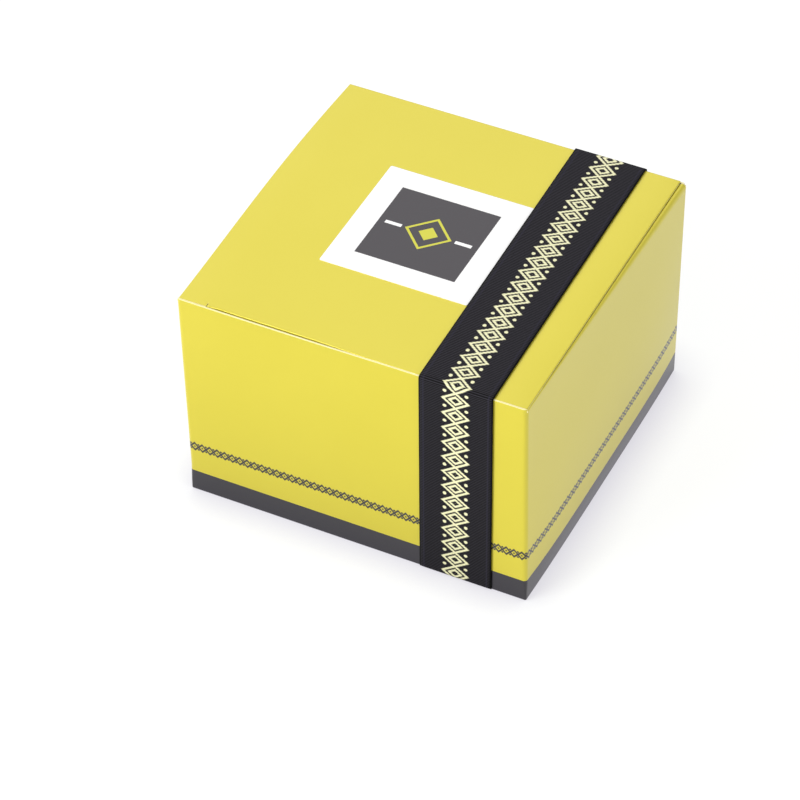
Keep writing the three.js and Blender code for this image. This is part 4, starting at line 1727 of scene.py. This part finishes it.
@dataclass
class Chocolates:
    """The wrapped chocolates: close foil wraps with folded ends, each in its own place in the box.

    Attributes:
        foot: The round of a wrap's lower edges.
        corner: The round of its upright corners.
        corner_limit: The most that round takes up, as a share of half a side.
        foot_rings: The sizes of the rings of faces underneath, as shares of the foot.
        top_rings: The sizes of the rings on the top, as shares of it.
        fold_lift: How far a folded end stands off the wrap.
        fold_peak: How high it reaches, as a share of the side.
        crease: The size of the crumples in the foil.
        crease_width: The width of a crease, as a share of that size.
        crease_height: The height of a crease, as a share of the crumples' depth.
        dent_level: The value of the noise at which the foil lies as it was wrapped.
        seed_step: How far apart the seeds of two kinds of chocolate are.
    """

    foot: float = 0.8 * MM
    corner: float = 2.5 * MM
    corner_limit: float = 0.9
    side_steps: int = 8
    corner_steps: int = 4
    side_rows: int = 6
    crown_steps: int = 5
    foot_rings: tuple[float, ...] = (0.3, 0.6, 0.85, 1.0)
    top_rings: tuple[float, ...] = (0.88, 0.72, 0.56, 0.4, 0.25, 0.1)
    fold_lift: float = 0.12 * MM
    fold_peak: float = 0.72
    crease: float = 9 * MM
    crease_width: float = 0.12
    crease_height: float = 0.35
    dent_detail: float = 2.0
    dent_level: float = 0.62
    seed_step: float = 10.0

    def build(self, nodes: Iterable[str]) -> None:
        """Builds every chocolate of the frame.

        Args:
            nodes: The names of the frame's nodes.
        """
        tree = self._crumple()
        names = sorted(nodes)
        for number, wrap in enumerate(WRAPS):
            for count, node in enumerate(n for n in names if n.startswith(wrap.kind)):
                self._chocolate(tree, wrap, node, seed=number * self.seed_step + count)

    def _ring(self, build: BMesh, half: Vector, z: float) -> list[BMVert]:
        """Adds a ring of points round a rounded rectangle.

        Args:
            build: The mesh that takes the points.
            half: Half the rectangle's width and depth.
            z: The ring's height.

        Returns:
            The points in order.
        """
        corner = min(self.corner, half.x * self.corner_limit, half.y * self.corner_limit)

        def on_corner(quarter: int, share: float) -> Vector:
            """A point of a round corner, at a share of its quarter turn."""
            side_x, side_y = corner_sides(quarter)
            turn = (quarter + share) * math.pi / 2
            centre = Vector((side_x * (half.x - corner), side_y * (half.y - corner), z))
            return centre + Vector((math.cos(turn), math.sin(turn), 0)) * corner

        ring = []
        for quarter in range(4):
            ring += [on_corner(quarter, i / self.corner_steps) for i in range(self.corner_steps + 1)]
            start, end = ring[-1], on_corner(quarter + 1, 0.0)
            ring += [start.lerp(end, i / self.side_steps) for i in range(1, self.side_steps)]
        return [build.verts.new(p) for p in ring]

    def _chocolate(self, tree: NodeGroup, wrap: Wrap, node: str, seed: float) -> None:
        """Builds one chocolate and puts it in its place.

        Args:
            tree: The tree that crumples the foil.
            wrap: The kind of chocolate.
            node: The node that it stands for.
            seed: The seed of its crumples.
        """
        extent = Extent.of(node)
        size = extent.size
        half = Vector((size.x / 2, size.y / 2, 0))
        build = bmesh.new()
        foot = half - Vector((self.foot, self.foot, 0))
        rings = [self._ring(build, foot * share, 0) for share in self.foot_rings]
        crown_z = size.z - wrap.crown
        for share in evenly(0, 1, self.side_rows):
            inset = wrap.draft * share
            z = self.foot + (crown_z - self.foot) * share
            rings.append(self._ring(build, half - Vector((inset, inset, 0)), z))
        for turn in evenly(0, math.pi / 2, self.crown_steps)[1:]:
            inset = wrap.draft + wrap.crown * (1 - math.cos(turn))
            z = crown_z + wrap.crown * math.sin(turn)
            rings.append(self._ring(build, half - Vector((inset, inset, 0)), z))
        inset = wrap.draft + wrap.crown
        top = half - Vector((inset, inset, 0))
        rings += [self._ring(build, top * share, size.z) for share in self.top_rings]
        count = len(rings[0])
        for lower, upper in zip(rings, rings[1:]):
            for i in range(count):
                follow = (i + 1) % count
                build.faces.new((lower[i], lower[follow], upper[follow], upper[i]))
        build.faces.new(reversed(rings[0]))
        build.faces.new(rings[-1])
        self._folded_ends(build, half, size.z, wrap)
        bmesh.ops.recalc_face_normals(build, faces=build.faces)
        for face in build.faces:
            face.smooth = True
        place = Vector((extent.middle.x, extent.middle.y, extent.low.z))
        bmesh.ops.translate(build, verts=build.verts, vec=place)
        shaped = finish_mesh("wrap", build, [wrap.finish.material()])
        tree.put_on(
            shaped, Depth=wrap.crumple, Crease=self.crease, Seed=seed, Material=wrap.finish.material()
        )
        piece = settle(shaped, f"{node}_wrap")
        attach(piece, "carton")
        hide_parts(node)
        report(piece, "carton")

    def _folded_ends(self, build: BMesh, half: Vector, height: float, wrap: Wrap) -> None:
        """Adds the folded triangle of foil on the two ends of a wrap.

        Args:
            build: The mesh that takes the folds.
            half: Half the wrap's width and depth.
            height: The wrap's height.
            wrap: The kind of chocolate.
        """
        along_x = half.x > half.y
        reach = half.x if along_x else half.y
        spread = (half.y if along_x else half.x) - self.corner
        low = self.foot
        peak = low + (height - wrap.crown - low) * self.fold_peak
        lean = wrap.draft / (height - wrap.crown - low)
        for side in (-1, 1):
            outlines = []
            for lift in (-self.fold_lift, self.fold_lift):
                corners = []
                for across, z in ((-spread, low), (spread, low), (0.0, peak)):
                    out = side * (reach - (z - low) * lean + lift)
                    corners.append(build.verts.new((out, across, z) if along_x else (across, out, z)))
                outlines.append(corners)
            inner, outer = outlines
            build.faces.new(inner)
            build.faces.new(outer)
            for i in range(3):
                follow = (i + 1) % 3
                build.faces.new((inner[i], inner[follow], outer[follow], outer[i]))

    def _crumple(self) -> NodeGroup:
        """Builds the tree that crumples a wrap: broad dents, and creases along a broken net."""
        group = NodeGroup("crumpled_foil", lengths=("Depth", "Crease", "Seed"))
        tree, start = group.tree, group.start.outputs
        place = add_node(tree, "GeometryNodeInputPosition")
        pitch = add_node(tree, "Math", {0: 1.0, 1: start["Crease"]}, operation="DIVIDE")
        dents = add_node(
            tree,
            "TexNoise",
            {"Vector": place, "W": start["Seed"], "Scale": pitch, "Detail": self.dent_detail},
            noise_dimensions="4D",
        )
        net = add_node(
            tree,
            "TexVoronoi",
            {"Vector": place, "W": start["Seed"], "Scale": pitch},
            voronoi_dimensions="4D",
            feature="DISTANCE_TO_EDGE",
        )
        across = {"From Max": self.crease_width, "To Min": self.crease_height, "To Max": 0.0}
        ridge = add_node(tree, "MapRange", {"Value": net.outputs["Distance"], **across})
        level = add_node(tree, "Math", {0: dents, 1: self.dent_level}, operation="SUBTRACT")
        height = add_node(tree, "Math", {0: level, 1: ridge}, operation="ADD")
        lift = add_node(tree, "Math", {0: height, 1: start["Depth"]}, operation="MULTIPLY")
        facing = add_node(tree, "GeometryNodeInputNormal")
        offset = add_node(tree, "VectorMath", {0: facing, "Scale": lift.outputs[0]}, operation="SCALE")
        moved = add_node(
            tree, "GeometryNodeSetPosition", {"Geometry": start["Geometry"], "Offset": offset.outputs[0]}
        )
        group.end(moved)
        return group


def dress_pads(nodes: Iterable[str]) -> None:
    """Gives the card pads between the layers their board.

    Args:
        nodes: The names of the frame's nodes.
    """
    for name in sorted(n for n in nodes if "pad" in n):
        pad = bpy.data.objects[name]
        pad.data.materials.clear()
        pad.data.materials.append(PAD_CARD.material())
        report(pad, "carton")


# Studio


@dataclass(frozen=True)
class StudioFloor(Finish):
    """White paper sweep. It is lit like paper, and shows the eye and every reflection the same white.

    Attributes:
        colour: The paper as it lights the object.
        white: The paper as it is seen.
        shown_colour: The share of the light on it that is seen, which keeps the object's shadow.
        glow: The light that makes it white where it is seen.
        contact: How far the soft shadow close round the object reaches.
        contact_deep: How open to the light the floor is deep in that shadow.
        contact_colour: The colour of that light deep in that shadow.
        front_shade_colour: Painted shade in the paper's bounce light close before the box, which darkens the
            front's foot.
        front_shade_sides: Where that painted shade ends on the left and on the right.
        front_shade_ends: Where it ends before the box and under it.
        front_shade_edge: How softly it ends.
    """

    name: str = "white_paper_sweep"
    colour: str = "#eeeef0"
    white: str = "#ffffff"
    shown_colour: str = "#797b79"
    glow: float = 0.88
    contact: float = 17 * MM
    contact_deep: float = 0.4
    contact_colour: str = "#dbd8e1"
    front_shade_colour: str = "#606062"
    front_shade_sides: tuple[float, float] = (-78 * MM, 46 * MM)
    front_shade_ends: tuple[float, float] = (-110 * MM, -58 * MM)
    front_shade_edge: float = 14 * MM

    def shader(self, tree: NodeTree) -> Node:
        """Builds the paper, with a little light of its own for rays that are seen."""
        paper = add_node(tree, "BsdfDiffuse", {"Color": self._lighting_colour(tree)})
        shown = add_node(tree, "BsdfDiffuse", {"Color": linear(self.shown_colour)})
        openness = add_node(tree, "AmbientOcclusion", {"Distance": self.contact}).outputs["AO"]
        clear = add_node(tree, "MapRange", {"Value": openness, "From Min": self.contact_deep})
        white = add_node(
            tree,
            "Mix",
            {"Factor": clear, "A": linear(self.contact_colour), "B": linear(self.white)},
            data_type="RGBA",
        ).outputs["Result"]
        light = add_node(tree, "Emission", {"Color": white, "Strength": self.glow})
        bright = add_node(tree, "AddShader", {0: shown, 1: light})
        return add_node(tree, "MixShader", {0: seen_rays(tree), 1: paper, 2: bright})

    def _lighting_colour(self, tree: NodeTree) -> NodeSocket:
        """Builds the colour that lights the object: the paper's, with painted shade close before the box."""
        places = add_node(tree, "TexCoord").outputs["Object"]
        split = add_node(tree, "SeparateXYZ", {0: places})
        # Painted shade in the bounce light close before the box, which darkens the foot of the front.
        share: Any = 1.0
        for axis, ends in (("X", self.front_shade_sides), ("Y", self.front_shade_ends)):
            for end, outside in zip(ends, (-self.front_shade_edge, self.front_shade_edge)):
                within = add_node(
                    tree,
                    "MapRange",
                    {"Value": split.outputs[axis], "From Min": end + outside, "From Max": end},
                    interpolation_type="SMOOTHSTEP",
                )
                share = add_node(tree, "Math", {0: share, 1: within}, operation="MULTIPLY")
        return add_node(
            tree,
            "Mix",
            {"Factor": share, "A": linear(self.colour), "B": linear(self.front_shade_colour)},
            data_type="RGBA",
        ).outputs["Result"]


def seen_rays(tree: NodeTree) -> Node:
    """Builds a value that is 1 for rays from the camera, from a gloss and through a clear surface."""
    path = add_node(tree, "LightPath").outputs
    gloss = add_node(
        tree, "Math", {0: path["Is Camera Ray"], 1: path["Is Glossy Ray"]}, operation="MAXIMUM"
    )
    return add_node(tree, "Math", {0: gloss, 1: path["Is Transmission Ray"]}, operation="MAXIMUM")


@dataclass(frozen=True)
class Lamp:
    """A soft box: its place, its size, its power and the point that it looks at."""

    name: str
    place: tuple[float, float, float]
    size: float
    power: float
    target: tuple[float, float, float] = (0.0, 0.0, 0.04)

    def build(self) -> None:
        """Adds the lamp to the scene."""
        data = bpy.data.lights.new(self.name, "AREA")
        data.shape = "SQUARE"
        data.size = self.size
        data.energy = self.power
        lamp = bpy.data.objects.new(self.name, data)
        lamp.location = self.place
        aim = Vector(self.target) - lamp.location
        lamp.rotation_euler = aim.to_track_quat("-Z", "Y").to_euler()
        bpy.context.scene.collection.objects.link(lamp)


@dataclass
class Studio:
    """The floor, the light and the camera.

    Attributes:
        azimuth: The camera's turn round the box from straight in front, in degrees.
        elevation: Its height above the horizon, in degrees.
        roll: Its turn about its own axis, in degrees.
        distance: From the camera to the point that it looks at.
        target: That point.
        lens: The focal length in millimetres.
        sensor: The width of the picture behind the lens, in millimetres.
        sky: The strength of the light from all round.
        floor_side: The side of the paper.
        lamps: The soft boxes.
    """

    azimuth: float = 26.82
    elevation: float = 42.88
    roll: float = -1.02
    distance: float = 1.18211
    target: tuple[float, float, float] = (0.37 * MM, -27.68 * MM, 36 * MM)
    lens: float = 166.0
    sensor: float = 36.0
    sky: float = 0.64
    floor_side: float = 8.0
    lamps: tuple[Lamp, ...] = (
        Lamp("key_soft_box", place=(-0.9, -1.3, 0.95), size=0.9, power=28.5),
        Lamp("back_soft_box", place=(-0.65, 1.25, 1.3), size=1.3, power=4.5),
        Lamp("right_fill_box", place=(1.6, -0.3, 0.8), size=1.2, power=5.0),
    )

    def build(self) -> None:
        """Builds the whole studio."""
        self._floor()
        self._sky()
        for lamp in self.lamps:
            lamp.build()
        self._camera()
        bpy.context.scene.view_settings.view_transform = "Standard"

    def _floor(self) -> None:
        """Lays the paper under the box."""
        build = bmesh.new()
        bmesh.ops.create_grid(build, x_segments=1, y_segments=1, size=self.floor_side / 2)
        floor = finish_mesh("paper_floor", build, [StudioFloor().material()])

    def _sky(self) -> None:
        """Lights the scene evenly from all round and shows white behind it."""
        world = bpy.data.worlds.new("studio")
        world.use_nodes = True
        tree = world.node_tree
        tree.nodes.clear()
        strength = add_node(tree, "MapRange", {"Value": seen_rays(tree), "To Min": self.sky, "To Max": 1.0})
        sky = add_node(tree, "Background", {"Strength": strength})
        add_node(tree, "OutputWorld", {"Surface": sky})
        bpy.context.scene.world = world

    def _camera(self) -> None:
        """Sets the camera at its viewing angle."""
        turn, climb, roll = (math.radians(a) for a in (self.azimuth, self.elevation, self.roll))
        back = Vector((math.sin(turn) * math.cos(climb), -math.cos(turn) * math.cos(climb), math.sin(climb)))
        level = Vector((math.cos(turn), math.sin(turn), 0))
        upright = back.cross(level)
        right = level * math.cos(roll) + upright * math.sin(roll)
        up = upright * math.cos(roll) - level * math.sin(roll)
        data = bpy.data.cameras.new("camera")
        data.lens = self.lens
        data.sensor_width = self.sensor
        camera = bpy.data.objects.new("camera", data)
        turned = Matrix((right, up, back)).transposed().to_4x4()
        place = Vector(self.target) + back * self.distance
        camera.matrix_world = Matrix.Translation(place) @ turned
        bpy.context.scene.collection.objects.link(camera)
        bpy.context.scene.camera = camera


def main() -> None:
    """Builds the studio and every sub-assembly."""
    logging.basicConfig(level=logging.INFO, format="%(message)s")
    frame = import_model()
    Studio().build()
    Carton().build()
    Label().build()
    Ribbon().build()
    Chocolates().build(frame["nodes"])
    dress_pads(frame["nodes"])


if __name__ == "__main__":
    main()
